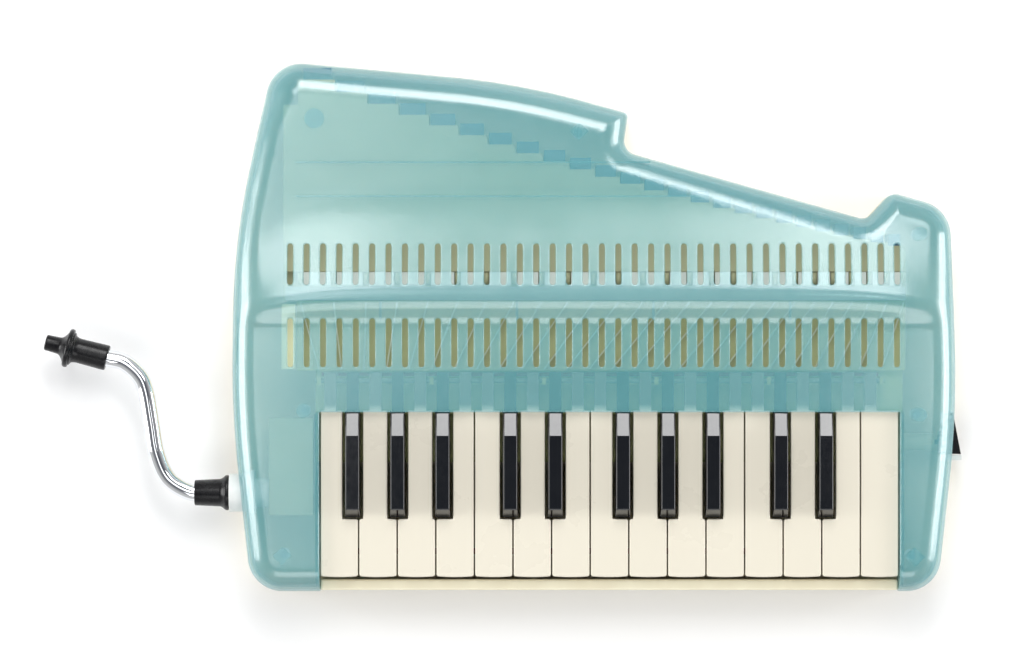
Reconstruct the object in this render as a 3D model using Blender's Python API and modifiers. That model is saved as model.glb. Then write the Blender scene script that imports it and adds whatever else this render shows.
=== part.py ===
"""Keyboard recorder: a breath-blown instrument with 25 keys and 25 stopped, folded pipes.

+X points along the keys to the treble end, +Y to the rear, +Z up. The origin is the centre of
the casing's footprint on the face it rests on. Everything is in metres.
"""
import math

import bmesh
import bpy
from mathutils import Matrix, Vector

# Gaps between pieces
GAP = 0.0003                 # pieces that touch

# Keyboard
KEY_PITCH = 0.0194           # one white key
KEY_GAP = 0.0007             # between two white keys
SEMITONES = 25
WHITE_STEPS = (0, 2, 4, 6, 7, 9, 11)   # steps of the scale that starts on F
FIRST_TAIL = 0.0051          # first key tail, from the left end of the keys
KEY_VISIBLE = 0.0829         # white key in front of the casing
BLACK_LENGTH = 0.0528        # black key in front of the casing
BLACK_BASE = 0.0078
BLACK_TOP = 0.0068
BLACK_RISE = 0.0075          # above the white keys
BLACK_ROUND = 0.0007
BLACK_NOSE = 0.0040          # length of the slope at its front
BLACK_SIDE_GAP = 0.0013
BLACK_FALL = 0.0035          # its top falls by this much
BLACK_BREAK = 0.0117         # over this length at the rear
HINGE_DROP = 0.0045          # hinge rod below the tops of the white keys
KEY_DROP = 0.0040            # white keys below the deck
HEEL = 0.0044                # key behind its hinge
TAIL_WIDTH = 0.0060
KEY_BODY = 0.0085            # height of a key's body
KEY_LIP = 0.0030             # how far its front wall hangs below that
KEY_SKIN = 0.0013
KEY_DIP = math.radians(3.0)
STOP_DEPTH = 0.0030          # felt and rib that stop the pressed keys
FELT = 0.0025

# Casing, from the front edge to the rear
LEFT_CHEEK = 0.0442
RIGHT_CHEEK = 0.0292
RAIL = 0.0060                # front rail
RAIL_GAP = 0.0015            # between the rail and the keys
DECK = 0.0462                # flat deck behind the keys
COVE = 0.0101                # steep rise behind the deck
SLOPE = 0.0482               # slotted slope, falling to the hood
HOOD = 0.0714
DECK_TOP = 0.0405
CREST_TOP = 0.0470
HOOD_TOP = 0.0370
SPLIT = 0.0170               # joint between the lower and the upper casing
RAIL_TOP = 0.0290
RAIL_ROUND = 0.0010
RAIL_INSET = 0.0002          # behind the lower casing's front face
EDGE_ROUND = 0.0120
WALL = 0.0022
FLOOR = 0.0022
OVERLAP = 0.0005              # how far joined pieces sink into each other
LOWER_INSET = 0.0004         # lower casing inside the upper one's outline

# Slots
SLOT_COUNT = 38
SLOT_WIDTH = 0.0030
SLOT_MARGIN = 0.0148         # from the left end of the keys to the first slot, outwards
SLOT_PITCH = 0.00823
FRONT_SLOTS = 0.0246         # length of a slot in the deck
REAR_SLOTS = 0.0208          # length of a slot in the slope
REAR_SLOT_SETBACK = 0.0076   # from the crest to the rear row

# Hinge and valves
HINGE_BACK = 0.0157          # hinge rod behind the rear edge of the key opening
ROD_RADIUS = 0.00125
PEG_AHEAD = 0.0290           # valve pegs in front of the hinge
PEG_RADIUS = 0.0015
PEG_HOLE = 0.0027
CHEST_DEPTH = 0.0240
CHEST_WALL = 0.0020
INLET_HEIGHTS = (0.0060, 0.0160)         # low and high edges of the chest's inlet
INLET_TOP = 0.0290
INLET_AHEAD = 0.0110         # inlet box in front of the mouthpiece's axis
SHEET = 0.0005               # valve comb, gasket and windway film

# Pipes
PIPE_COUNT = SEMITONES
PIPE_NARROWING = 0.972       # width of each pipe over its left neighbour's
LONGEST_PIPE = 0.1115        # length of the F pipe before the fold takes its share
PIPE_FOLD = 0.0161
PIPE_WALL = 0.0012
PIPE_LEFT = 0.0100           # pipes start this far left of the keys
PIPE_RIGHT = 0.0025          # and end this far right of them
TRAY_FLANGE = 0.0086
MOUTH_LENGTH = 0.0066

# Mouthpiece, in the left cheek
MOUTH_AHEAD = 0.0410         # axis in front of the key opening's rear edge
MOUTH_HEIGHT = 0.0180
PIPE_BORE = 0.0036
TUBE_RADIUS = 0.0044
SEAT = 0.0100                # depth of the chrome tube in its sockets
SOCKET_DEPTH = 0.0182        # inside the casing's left edge
SOCKET_BORE = 0.0053
TUBE_WALL = 0.0007
BEND_REACH = 0.0442          # the chrome tube's double bend, to the left
BEND_RISE = 0.0681           # and to the rear
TIP_LENGTH = 0.0323
TIP_RADIUS = 0.0099
TIP_BORE = 0.0021
TIP_TILT = math.radians(14.5)

# Drain lever, in the right side wall
LEVER_AHEAD = 0.0216         # its front end in front of the opening's rear edge
LEVER_LENGTH = 0.0211
LEVER_STAND = 0.0040         # how far it stands out of the side wall
LEVER_HEIGHT = 0.0086
LEVER_LOW = 0.0072
DUCT_BORE = 0.0032
DUCT_WALL = 0.0012
PIN_RADIUS = 0.0009

# Places that follow from the sizes
WHITE_COUNT = sum(n % 12 in WHITE_STEPS for n in range(SEMITONES))
TAIL_PITCH = KEY_PITCH * 7 / 12
CASE_WIDTH = LEFT_CHEEK + WHITE_COUNT * KEY_PITCH + RIGHT_CHEEK
CASE_DEPTH = RAIL + RAIL_GAP + KEY_VISIBLE + DECK + COVE + SLOPE + HOOD
LEFT = -CASE_WIDTH / 2
RIGHT = CASE_WIDTH / 2
KEYS_LEFT = LEFT + LEFT_CHEEK
KEYS_RIGHT = RIGHT - RIGHT_CHEEK
FRONT = -CASE_DEPTH / 2
REAR = CASE_DEPTH / 2
RAIL_Y = FRONT + RAIL
KEY_FRONT = RAIL_Y + RAIL_GAP
OPEN_Y = KEY_FRONT + KEY_VISIBLE
COVE_Y = OPEN_Y + DECK
CREST_Y = COVE_Y + COVE
FOOT_Y = CREST_Y + SLOPE
KEY_TOP = DECK_TOP - KEY_DROP
KEY_UNDER = KEY_TOP - KEY_BODY
HINGE_Y = OPEN_Y + HINGE_BACK
HINGE_Z = KEY_TOP - HINGE_DROP
PEG_Y = HINGE_Y - PEG_AHEAD
STOP_Y = KEY_FRONT + 0.0110
STOP_TOP = KEY_UNDER - (HINGE_Y - STOP_Y) * math.sin(KEY_DIP) - GAP

# Levels inside, from the floor up
INSIDE_LOW = FLOOR + GAP
PLATE_LOW = KEY_UNDER - 0.0054          # underside of the channel board's front step
CHEST_TOP = PLATE_LOW - SHEET - 2 * GAP
PLATE = 0.0022                          # thickness of the channel board
STEP_LOW = PLATE_LOW + 0.0016
WINDWAY_LOW = PLATE_LOW + 0.0057
WINDWAY_TOP = WINDWAY_LOW + PLATE
WINDWAY_WALL = 0.0030
FAN_WALL = 0.0010                       # thickness of the walls between the windways
BOARD_MARGIN = 0.0025                   # board beside the keys
HINGE_POST = 0.0040                     # depth of the posts that carry the rod
CHEST_REAR = HINGE_Y - 0.0170
CHEST_FRONT = CHEST_REAR - CHEST_DEPTH
BOARD_REAR = CREST_Y - GAP
STEP_Y = HINGE_Y + 0.0050
FAN_FRONT = STEP_Y + 0.0008
FAN_REAR = BOARD_REAR - 0.0006
TRAY_TOP = HOOD_TOP - 0.0044
MOUTH_Y = BOARD_REAR + 0.0147           # rear edge of the pipe mouths
TRAY_SPLIT_LOW = 0.0172
DIVIDER = 0.0012
MOUTH_AXIS_Y = OPEN_Y - MOUTH_AHEAD
LEVER_FRONT = OPEN_Y - LEVER_AHEAD
DUCT_Y = LEVER_FRONT + 0.0062
DUCT_Z = LEVER_LOW + LEVER_HEIGHT / 2

parts = bpy.data.collections.new("keyboard_recorder")
cutters = bpy.data.collections.new("keyboard_recorder_cutters")


def clear_scene():
    for old in list(bpy.data.objects):
        bpy.data.objects.remove(old, do_unlink=True)
    bpy.context.scene.collection.children.link(parts)
    bpy.context.scene.collection.children.link(cutters)


def material(name, colour, roughness, metallic=0.0):
    made = bpy.data.materials.new(name)
    made.use_nodes = True
    shader = made.node_tree.nodes["Principled BSDF"]
    shader.inputs["Base Color"].default_value = (*colour, 1.0)
    shader.inputs["Roughness"].default_value = roughness
    shader.inputs["Metallic"].default_value = metallic
    made.diffuse_color = (*colour, 1.0)
    return made


def place(name, mesh, finish=None):
    """A finished sub-part where it has a finish, otherwise a cutter or guide."""
    made = bpy.data.objects.new(name, mesh)
    if finish:
        mesh.materials.clear()
        mesh.materials.append(finish)
        parts.objects.link(made)
    else:
        cutters.objects.link(made)
        made.hide_render = True
        made.display_type = "WIRE"
    return made


def mesh_from_curve(curve):
    """The curve's shape as a closed mesh, with flat caps as single faces."""
    guide = bpy.data.objects.new(curve.name, curve)
    cutters.objects.link(guide)
    shape = guide.evaluated_get(bpy.context.evaluated_depsgraph_get())
    mesh = bpy.data.meshes.new_from_object(shape)
    bpy.data.objects.remove(guide, do_unlink=True)
    form = bmesh.new()
    form.from_mesh(mesh)
    bmesh.ops.remove_doubles(form, verts=form.verts, dist=1e-6)
    bmesh.ops.dissolve_limit(form, angle_limit=math.radians(0.2), verts=form.verts, edges=form.edges)
    bmesh.ops.recalc_face_normals(form, faces=form.faces)
    form.to_mesh(mesh)
    form.free()
    return mesh


def plates_mesh(name, outlines, low, high):
    """Flat plates with these outlines in plan, from height low to height high."""
    curve = bpy.data.curves.new(name, "CURVE")
    curve.dimensions = "2D"
    curve.fill_mode = "BOTH"
    curve.extrude = (high - low) / 2
    for outline in outlines:
        spline = curve.splines.new("POLY")
        spline.points.add(len(outline) - 1)
        for point, (x, y) in zip(spline.points, outline):
            point.co = (x, y, 0, 1)
        spline.use_cyclic_u = True
    mesh = mesh_from_curve(curve)
    for vertex in mesh.vertices:
        vertex.co.z += (low + high) / 2
    return mesh


def plate(name, outline, low, high, finish=None):
    return place(name, plates_mesh(name, [outline], low, high), finish)


def rectangle(x0, x1, y0, y1):
    return [(x0, y0), (x1, y0), (x1, y1), (x0, y1)]


def box(name, x0, x1, y0, y1, z0, z1, finish=None):
    mesh = bpy.data.meshes.new(name)
    form = bmesh.new()
    bmesh.ops.create_cube(form, size=1.0)
    bmesh.ops.scale(form, vec=(x1 - x0, y1 - y0, z1 - z0), verts=form.verts)
    bmesh.ops.translate(form, vec=((x0 + x1) / 2, (y0 + y1) / 2, (z0 + z1) / 2), verts=form.verts)
    form.to_mesh(mesh)
    form.free()
    return place(name, mesh, finish)


def cylinders(name, centres, radius, low, high, sides=16, axis="Z"):
    """Upright or lying cylinders, as one cutter or guide.

    centres are plan points for axis Z, and (y, z) points for axis X.
    """
    mesh = bpy.data.meshes.new(name)
    form = bmesh.new()
    for centre in centres:
        made = bmesh.ops.create_cone(form, cap_ends=True, segments=sides, radius1=radius,
                                     radius2=radius, depth=high - low)["verts"]
        if axis == "X":
            bmesh.ops.rotate(form, verts=made, cent=(0, 0, 0), matrix=quarter_turn_about_y())
            offset = ((low + high) / 2, centre[0], centre[1])
        else:
            offset = (centre[0], centre[1], (low + high) / 2)
        bmesh.ops.translate(form, vec=offset, verts=made)
    form.to_mesh(mesh)
    form.free()
    return place(name, mesh)


def quarter_turn_about_y():
    return Matrix.Rotation(math.pi / 2, 3, "Y")


def combine(target, other, operation):
    change = target.modifiers.new(other.name, "BOOLEAN")
    change.operation = operation
    change.solver = "EXACT"
    change.object = other


def cut(target, *others):
    for other in others:
        combine(target, other, "DIFFERENCE")


def join(target, *others):
    for other in others:
        combine(target, other, "UNION")


def smooth(target, angle=35):
    target.data.shade_smooth()
    target.data.set_sharp_from_angle(angle=math.radians(angle))


def turned(name, profile, axis_point, finish=None, tilt=0.0, sides=18):
    """A shape turned about an axis along -X from axis_point, tilted up in plan by tilt.

    profile holds (distance along the axis, radius), as one closed section off the axis.
    """
    mesh = bpy.data.meshes.new(name)
    form = bmesh.new()
    ring = [form.verts.new((radius, 0, along)) for along, radius in profile]
    for first, second in zip(ring, ring[1:] + ring[:1]):
        form.edges.new((first, second))
    bmesh.ops.spin(form, geom=form.verts[:] + form.edges[:], cent=(0, 0, 0), axis=(0, 0, 1),
                   angle=math.tau, steps=sides, use_merge=True)
    bmesh.ops.remove_doubles(form, verts=form.verts, dist=1e-6)
    bmesh.ops.recalc_face_normals(form, faces=form.faces)
    along = Vector((-math.cos(tilt), math.sin(tilt), 0))
    turn = Vector((0, 0, 1)).rotation_difference(along).to_matrix()
    bmesh.ops.rotate(form, verts=form.verts, cent=(0, 0, 0), matrix=turn)
    bmesh.ops.translate(form, vec=axis_point, verts=form.verts)
    form.to_mesh(mesh)
    form.free()
    return place(name, mesh, finish)


def case_corners():
    """Corners of the casing's outline, front left first, each with its radius.

    A long radius is the bow of a side. The two notches at the rear stand between the hood,
    the long slope and the ear.
    """
    bow = 0.0008
    taper = 0.0092
    return [
        (LEFT + taper, FRONT, 0.0175),
        (RIGHT - taper, FRONT, 0.0175),
        (RIGHT + bow, OPEN_Y, 0.500),
        (RIGHT - 0.0026, FOOT_Y - 0.0021, 0.0180),
        (RIGHT - 0.0322, FOOT_Y + 0.0065, 0.0070),
        (RIGHT - 0.0452, FOOT_Y - 0.0075, 0.0060),
        (LEFT + 0.1967, REAR - 0.0443, 0.0070),
        (LEFT + 0.1995, REAR - 0.0252, 0.0028),
        (LEFT + 0.1454, REAR - 0.0100, 0.400),
        (LEFT + 0.0200, REAR + 0.0016, 0.0180),
        (LEFT + 0.0006, FOOT_Y - 0.0168, 0.357),
        (LEFT - bow, OPEN_Y, 0.505),
    ]


def rounded_outline(corners, inset=0.0, steps=4):
    """The outline with its corners rounded, moved inwards by inset.

    A hollow corner's radius grows with the inset, up to what the sides beside it leave room for.
    """
    count = len(corners)
    points = [Vector(corner[:2]) for corner in corners]
    ways = [(points[(i + 1) % count] - points[i]).normalized() for i in range(count)]
    turns = []
    moved = []
    for i in range(count):
        before, after = ways[i - 1], ways[i]
        angle = math.atan2(before.cross(after), before.dot(after))
        turns.append(angle)
        bisector = (after - before).normalized() * math.copysign(1.0, angle)
        moved.append(points[i] + bisector * inset / math.cos(angle / 2))
    outline = []
    for i in range(count):
        angle = turns[i]
        hollow = angle < 0
        bend = abs(math.tan(angle / 2))
        radius = corners[i][2] + (inset if hollow else -inset)
        if hollow:
            room = min((moved[i] - moved[i - 1]).length, (moved[(i + 1) % count] - moved[i]).length)
            radius = min(radius, room / 2 / bend)
        radius = max(radius, 0.0002)
        before = ways[i - 1]
        start = moved[i] - before * radius * bend
        side = Vector((-before.y, before.x)) * (-1.0 if hollow else 1.0)
        centre = start + side * radius
        spoke = start - centre
        for step in range(steps + 1):
            turn = Matrix.Rotation(angle * step / steps, 2)
            outline.append(tuple(centre + turn @ spoke))
    return outline


def smooth_min(a, b, blend):
    overlap = max(blend - abs(a - b), 0.0) / blend
    return min(a, b) - overlap * overlap * blend / 4


def top_height(x, y):
    """Height of the casing's top: the deck, the cove, the slotted slope and the hood."""
    droop = 0.0196 * (abs(x) / (CASE_WIDTH / 2 - 0.0165)) ** 8
    front_face = DECK_TOP + (y - COVE_Y) * (CREST_TOP - DECK_TOP) / COVE
    fall = (CREST_TOP - HOOD_TOP) / SLOPE
    rear_face = CREST_TOP + 0.0005 - (y + droop - CREST_Y) * fall
    ridge = smooth_min(front_face, rear_face, 0.0020)
    share = min(max((y - CREST_Y) / SLOPE, 0.0), 1.0)
    base = DECK_TOP + (HOOD_TOP - DECK_TOP) * share
    return -smooth_min(-base, -ridge, 0.0024)


def casing_solid(name, inset, low, finish=None):
    """The casing's closed outer form, or its inner form where inset is the wall."""
    arc_steps = 3
    rings = []
    for step in range(arc_steps + 1):
        angle = math.pi / 2 * step / arc_steps
        radius = EDGE_ROUND - inset
        rings.append((inset + radius * (1 - math.cos(angle)), inset + radius * (1 - math.sin(angle))))
    form = bmesh.new()
    drop = form.verts.layers.float.new("drop")
    loops = []
    for distance, fall in rings:
        loop = [form.verts.new((x, y, 0)) for x, y in rounded_outline(case_corners(), distance)]
        for vertex in loop:
            vertex[drop] = fall
        loops.append(loop)
    count = len(loops[0])
    for outer, inner in zip(loops, loops[1:]):
        for i in range(count):
            form.faces.new((outer[i], outer[(i + 1) % count], inner[(i + 1) % count], inner[i]))
    form.faces.new(loops[-1])
    for y in crease_lines():
        slice_form(form, (0, y, 0), (0, 1, 0))
    for share in (0.70, 0.86):
        for x in (LEFT * share, RIGHT * share):
            slice_form(form, (x, 0, 0), (1, 0, 0))
    for vertex in form.verts:
        vertex.co.z = top_height(vertex.co.x, vertex.co.y) - vertex[drop]
    edge = [e for e in form.edges if e.is_boundary]
    wall = bmesh.ops.extrude_edge_only(form, edges=edge)["geom"]
    foot = [v for v in wall if isinstance(v, bmesh.types.BMVert)]
    for vertex in foot:
        vertex.co.z = low
    bmesh.ops.contextual_create(form, geom=[e for e in form.edges if e.is_boundary])
    bmesh.ops.dissolve_limit(form, angle_limit=math.radians(0.1), verts=form.verts, edges=form.edges)
    bmesh.ops.triangulate(form, faces=[f for f in form.faces if len(f.verts) == 4])
    bmesh.ops.recalc_face_normals(form, faces=form.faces)
    mesh = bpy.data.meshes.new(name)
    form.to_mesh(mesh)
    form.free()
    return place(name, mesh, finish)


def crease_lines():
    """Where the casing's top bends, from front to rear."""
    bends = [COVE_Y - 0.0025, COVE_Y + 0.0020]
    bends += [CREST_Y - 0.0025, CREST_Y, CREST_Y + 0.0030]
    bends += [FOOT_Y - 0.0120, FOOT_Y + 0.0010]
    return bends


def slice_form(form, point, normal):
    bmesh.ops.bisect_plane(form, geom=form.verts[:] + form.edges[:] + form.faces[:],
                           plane_co=point, plane_no=normal, dist=1e-5)


def boss_places():
    return [
        (LEFT + 0.1744, REAR - 0.0347),
        (LEFT + 0.0251, FRONT + 0.0181),
        (RIGHT - 0.0211, FRONT + 0.0176),
        (RIGHT - 0.0182, FOOT_Y - 0.0148),
        (RIGHT - 0.0186, OPEN_Y - 0.0013),
        (LEFT + 0.0357, OPEN_Y + 0.0007),
    ]


def slot_outlines():
    """Both rows of slots, each slot with round ends."""
    first = KEYS_LEFT - SLOT_MARGIN
    rows = [(COVE_Y + 0.0010 - FRONT_SLOTS, COVE_Y + 0.0010),
            (CREST_Y + REAR_SLOT_SETBACK, CREST_Y + REAR_SLOT_SETBACK + REAR_SLOTS)]
    radius = SLOT_WIDTH / 2
    outlines = []
    for y0, y1 in rows:
        for n in range(SLOT_COUNT):
            x = first + n * SLOT_PITCH
            ends = [(y1 - radius, 0.0), (y0 + radius, math.pi)]
            outlines.append([(x + radius * math.cos(start + a), y + radius * math.sin(start + a))
                             for y, start in ends for a in (0, math.pi / 3, math.pi * 2 / 3, math.pi)])
    return outlines


def build_upper_casing(finish):
    casing = casing_solid("upper_casing", 0.0, SPLIT, finish)
    hollow = casing_solid("casing_hollow", WALL, SPLIT - 0.004)
    opening_left, opening_right = KEYS_LEFT - GAP, KEYS_RIGHT + GAP
    for side, x0, x1 in (("left", opening_left - 0.0020, opening_left + 0.001),
                         ("right", opening_right - 0.001, opening_right + 0.0020)):
        cut(hollow, box("cheek_" + side, x0, x1, FRONT - 0.01, CHEST_FRONT - 0.002, 0.0, 0.1))
        cut(hollow, box("cheek_rear_" + side, x0, x1, CHEST_FRONT - 0.003, OPEN_Y,
                        PLATE_LOW + 0.0052, 0.1))
    cut(hollow, cylinders("upper_bosses", boss_places(), 0.0040, 0.0, 0.1, 12))
    for n in range(4):
        x = KEYS_LEFT + 0.0304 + n * 0.0686
        cut(hollow, box("ridge_rib_%d" % n, x - 0.0006, x + 0.0006, COVE_Y + 0.0002,
                        CREST_Y - 0.0005, DECK_TOP - 0.0015, 0.1))
    cut(casing, hollow)
    cut(casing, box("key_opening", opening_left, opening_right, FRONT - 0.02, OPEN_Y, -0.1, 0.1))
    slots = plates_mesh("slots", slot_outlines(), DECK_TOP - 0.012, CREST_TOP + 0.01)
    cut(casing, place("slots", slots))
    cut(casing, socket_hole())
    smooth(casing)
    return casing


def socket_hole():
    return cylinders("socket_hole", [(MOUTH_AXIS_Y, MOUTH_HEIGHT)], 0.0101, LEFT - 0.02, LEFT + 0.0110,
                     24, "X")


def build_lower_casing(finish):
    outline = rounded_outline(case_corners(), LOWER_INSET)
    casing = plate("lower_casing", outline, 0.0, SPLIT - GAP, finish)
    soften = casing.modifiers.new("bottom_edge", "BEVEL")
    soften.width = 0.0012
    soften.segments = 1
    soften.limit_method = "ANGLE"
    soften.angle_limit = math.radians(60)
    inner = rounded_outline(case_corners(), LOWER_INSET + WALL + 0.0002)
    hollow = plate("tray_hollow", inner, FLOOR, 0.1)
    cut(hollow, cylinders("lower_bosses", boss_places(), 0.0040, -0.1, 0.2, 12))
    cut(casing, hollow)
    join(casing, box("stop_rib", KEYS_LEFT + 0.002, KEYS_RIGHT - 0.002, STOP_Y, STOP_Y + STOP_DEPTH,
                     FLOOR - 0.001, STOP_TOP - FELT - GAP))
    rail = box("front_rail", KEYS_LEFT, KEYS_RIGHT, FRONT + LOWER_INSET + RAIL_INSET, RAIL_Y,
               FLOOR - RAIL_ROUND - OVERLAP, RAIL_TOP)
    soften = rail.modifiers.new("rail_edge", "BEVEL")
    soften.width = RAIL_ROUND
    soften.segments = 2
    join(casing, rail)
    cut(casing, socket_hole())
    cut(casing, cylinders("screw_wells", boss_places(), 0.0027, -0.01, 0.0120, 12))
    cut(casing, box("lever_opening", RIGHT - 0.0060, RIGHT + 0.010, LEVER_FRONT - 0.0036,
                    LEVER_FRONT + LEVER_LENGTH + 0.0006, LEVER_LOW - 0.0022, 0.1))
    smooth(casing)
    return casing


def is_black(n):
    return 0 <= n < SEMITONES and n % 12 not in WHITE_STEPS


def tail_x(n):
    return KEYS_LEFT + FIRST_TAIL + n * TAIL_PITCH


def white_key_outline(n, index):
    """Head, body between the black keys, and tail, front left first."""
    left = KEYS_LEFT + index * KEY_PITCH + KEY_GAP / 2
    right = KEYS_LEFT + (index + 1) * KEY_PITCH - KEY_GAP / 2
    reach = BLACK_BASE / 2 + BLACK_SIDE_GAP
    body_left = max(left, tail_x(n - 1) + reach) if is_black(n - 1) else left
    body_right = min(right, tail_x(n + 1) - reach) if is_black(n + 1) else right
    notch = OPEN_Y - BLACK_LENGTH - BLACK_SIDE_GAP
    shoulder = OPEN_Y + 0.0008
    heel = HINGE_Y + HEEL
    tail_left, tail_right = tail_x(n) - TAIL_WIDTH / 2, tail_x(n) + TAIL_WIDTH / 2
    outline = [(left, KEY_FRONT), (right, KEY_FRONT)]
    if body_right < right:
        outline += [(right, notch), (body_right, notch)]
    outline += [(body_right, shoulder), (tail_right, shoulder), (tail_right, heel)]
    outline += [(tail_left, heel), (tail_left, shoulder), (body_left, shoulder)]
    if body_left > left:
        outline += [(body_left, notch), (left, notch)]
    return outline, left, right


def peg(name, x):
    return cylinders(name, [(x, PEG_Y)], PEG_RADIUS, PLATE_LOW, KEY_TOP - KEY_SKIN / 2, 8)


def rod_bore(name, x):
    return cylinders(name, [(HINGE_Y, HINGE_Z)], ROD_RADIUS + GAP, x - 0.02, x + 0.02, 12, "X")


def key_object(name, mesh, finish):
    """A key with its origin on the hinge rod."""
    key = place(name, mesh, finish)
    for vertex in mesh.vertices:
        vertex.co.y -= HINGE_Y
        vertex.co.z -= HINGE_Z
    key.location = (0, HINGE_Y, HINGE_Z)
    return key


def round_top_edges(mesh, top, width):
    form = bmesh.new()
    form.from_mesh(mesh)
    rim = [e for e in form.edges if all(abs(v.co.z - top) < 1e-6 for v in e.verts)]
    bmesh.ops.bevel(form, geom=rim, offset=width, segments=1, affect="EDGES")
    form.to_mesh(mesh)
    form.free()


def build_white_key(n, index, finish):
    name = "white_key_%02d" % (index + 1)
    outline, left, right = white_key_outline(n, index)
    mesh = plates_mesh(name, [outline], KEY_UNDER, KEY_TOP)
    round_top_edges(mesh, KEY_TOP, 0.0004)
    key = key_object(name, mesh, finish)
    notch = OPEN_Y - BLACK_LENGTH
    join(key, box(name + "_lip", left, right, KEY_FRONT, KEY_FRONT + 0.0015,
                  KEY_UNDER - KEY_LIP, KEY_UNDER + 0.001))
    cut(key, box(name + "_head_hollow", left + KEY_SKIN, right - KEY_SKIN,
                 KEY_FRONT + 0.0016, notch - 0.0025, KEY_UNDER - 0.001, KEY_TOP - 0.0020))
    inner = [p[0] for p in outline if p[1] > notch]
    cut(key, box(name + "_body_hollow", min(inner) + KEY_SKIN, max(inner) - KEY_SKIN,
                 notch + 0.0010, PEG_Y - 0.0035, KEY_UNDER - 0.001, KEY_TOP - 0.0020))
    join(key, peg(name + "_peg", tail_x(n)))
    cut(key, rod_bore(name + "_bore", tail_x(n)))
    smooth(key)
    return key


def build_black_key(n, index, finish):
    """The sharp stands on a base that runs back as the tail."""
    name = "black_key_%02d" % (index + 1)
    x = tail_x(n)
    half, front = BLACK_BASE / 2, OPEN_Y - BLACK_LENGTH
    top = KEY_TOP + BLACK_RISE
    shoulder = OPEN_Y + 0.0008
    heel = HINGE_Y + HEEL
    tail = TAIL_WIDTH / 2
    outline = [(x - half, front), (x + half, front), (x + half, shoulder), (x + tail, shoulder),
               (x + tail, heel), (x - tail, heel), (x - tail, shoulder), (x - half, shoulder)]
    key = key_object(name, plates_mesh(name, [outline], KEY_UNDER, KEY_TOP - 0.0010), finish)
    form = bmesh.new()
    bmesh.ops.create_cube(form, size=1.0)
    rear = OPEN_Y - 0.0002
    for vertex in form.verts:
        high = vertex.co.z > 0
        width = BLACK_TOP / 2 if high else half
        nose = BLACK_NOSE if high else 0.0
        vertex.co.x = x + math.copysign(width, vertex.co.x)
        vertex.co.y = rear if vertex.co.y > 0 else front + nose
        vertex.co.z = top if high else KEY_TOP - 0.0012
    slice_form(form, (0, rear - BLACK_BREAK, 0), (0, 1, 0))
    for vertex in form.verts:
        if vertex.co.z == top and vertex.co.y == rear:
            vertex.co.z -= BLACK_FALL
    edges = [e for e in form.edges if any(v.co.z > KEY_TOP for v in e.verts)
             and not all(abs(v.co.y - rear + BLACK_BREAK) < 1e-6 for v in e.verts)]
    bmesh.ops.bevel(form, geom=edges, offset=BLACK_ROUND, segments=2, profile=0.5, affect="EDGES")
    bmesh.ops.recalc_face_normals(form, faces=form.faces)
    sharp = bpy.data.meshes.new(name + "_sharp")
    form.to_mesh(sharp)
    form.free()
    join(key, place(name + "_sharp", sharp))
    cut(key, box(name + "_hollow", x - half + KEY_SKIN, x + half - KEY_SKIN, front + 0.0020,
                 PEG_Y - 0.0035, KEY_UNDER - 0.001, top - 0.0030))
    join(key, peg(name + "_peg", x))
    cut(key, rod_bore(name + "_bore", x))
    smooth(key)
    return key


def build_keys(ivory, ebony):
    whites = blacks = 0
    for n in range(SEMITONES):
        if is_black(n):
            build_black_key(n, blacks, ebony)
            blacks += 1
        else:
            build_white_key(n, whites, ivory)
            whites += 1


def pipe_edges():
    """Left edge of each pipe, and the right edge of the last."""
    total = KEYS_RIGHT + PIPE_RIGHT - KEYS_LEFT + PIPE_LEFT
    widest = total * (1 - PIPE_NARROWING) / (1 - PIPE_NARROWING ** PIPE_COUNT)
    edges = [KEYS_LEFT - PIPE_LEFT]
    for i in range(PIPE_COUNT):
        edges.append(edges[-1] + widest * PIPE_NARROWING ** i)
    return edges


def pipe_end(i):
    return MOUTH_Y + LONGEST_PIPE * 2 ** (-i / 12) - PIPE_FOLD


def staircase_outline():
    """Plan of a pipe tray: straight at the mouths, stepped at the stopped ends."""
    edges = pipe_edges()
    front = BOARD_REAR + GAP
    outline = [(edges[0] - TRAY_FLANGE, front), (edges[-1] + PIPE_WALL, front)]
    for i in reversed(range(PIPE_COUNT)):
        rear = pipe_end(i) + PIPE_WALL
        beyond = PIPE_WALL if i == PIPE_COUNT - 1 else PIPE_WALL / 2
        outline += [(edges[i + 1] + beyond, rear), (edges[i] + PIPE_WALL / 2, rear)]
    outline[-1] = (edges[0] - PIPE_WALL, outline[-1][1])
    flange_rear = FOOT_Y + 0.0500
    outline += [(edges[0] - PIPE_WALL, flange_rear), (edges[0] - TRAY_FLANGE, flange_rear)]
    return outline


def pipe_cells(front, short=0.0, narrow=0.0, length=None):
    """Plans of the 25 air columns, or of the fold openings at their ends."""
    edges = pipe_edges()
    cells = []
    for i in range(PIPE_COUNT):
        rear = pipe_end(i) - short
        start = rear - length if length else front
        cells.append(rectangle(edges[i] + PIPE_WALL / 2 + narrow, edges[i + 1] - PIPE_WALL / 2 - narrow,
                               start, rear))
    return cells


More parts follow.
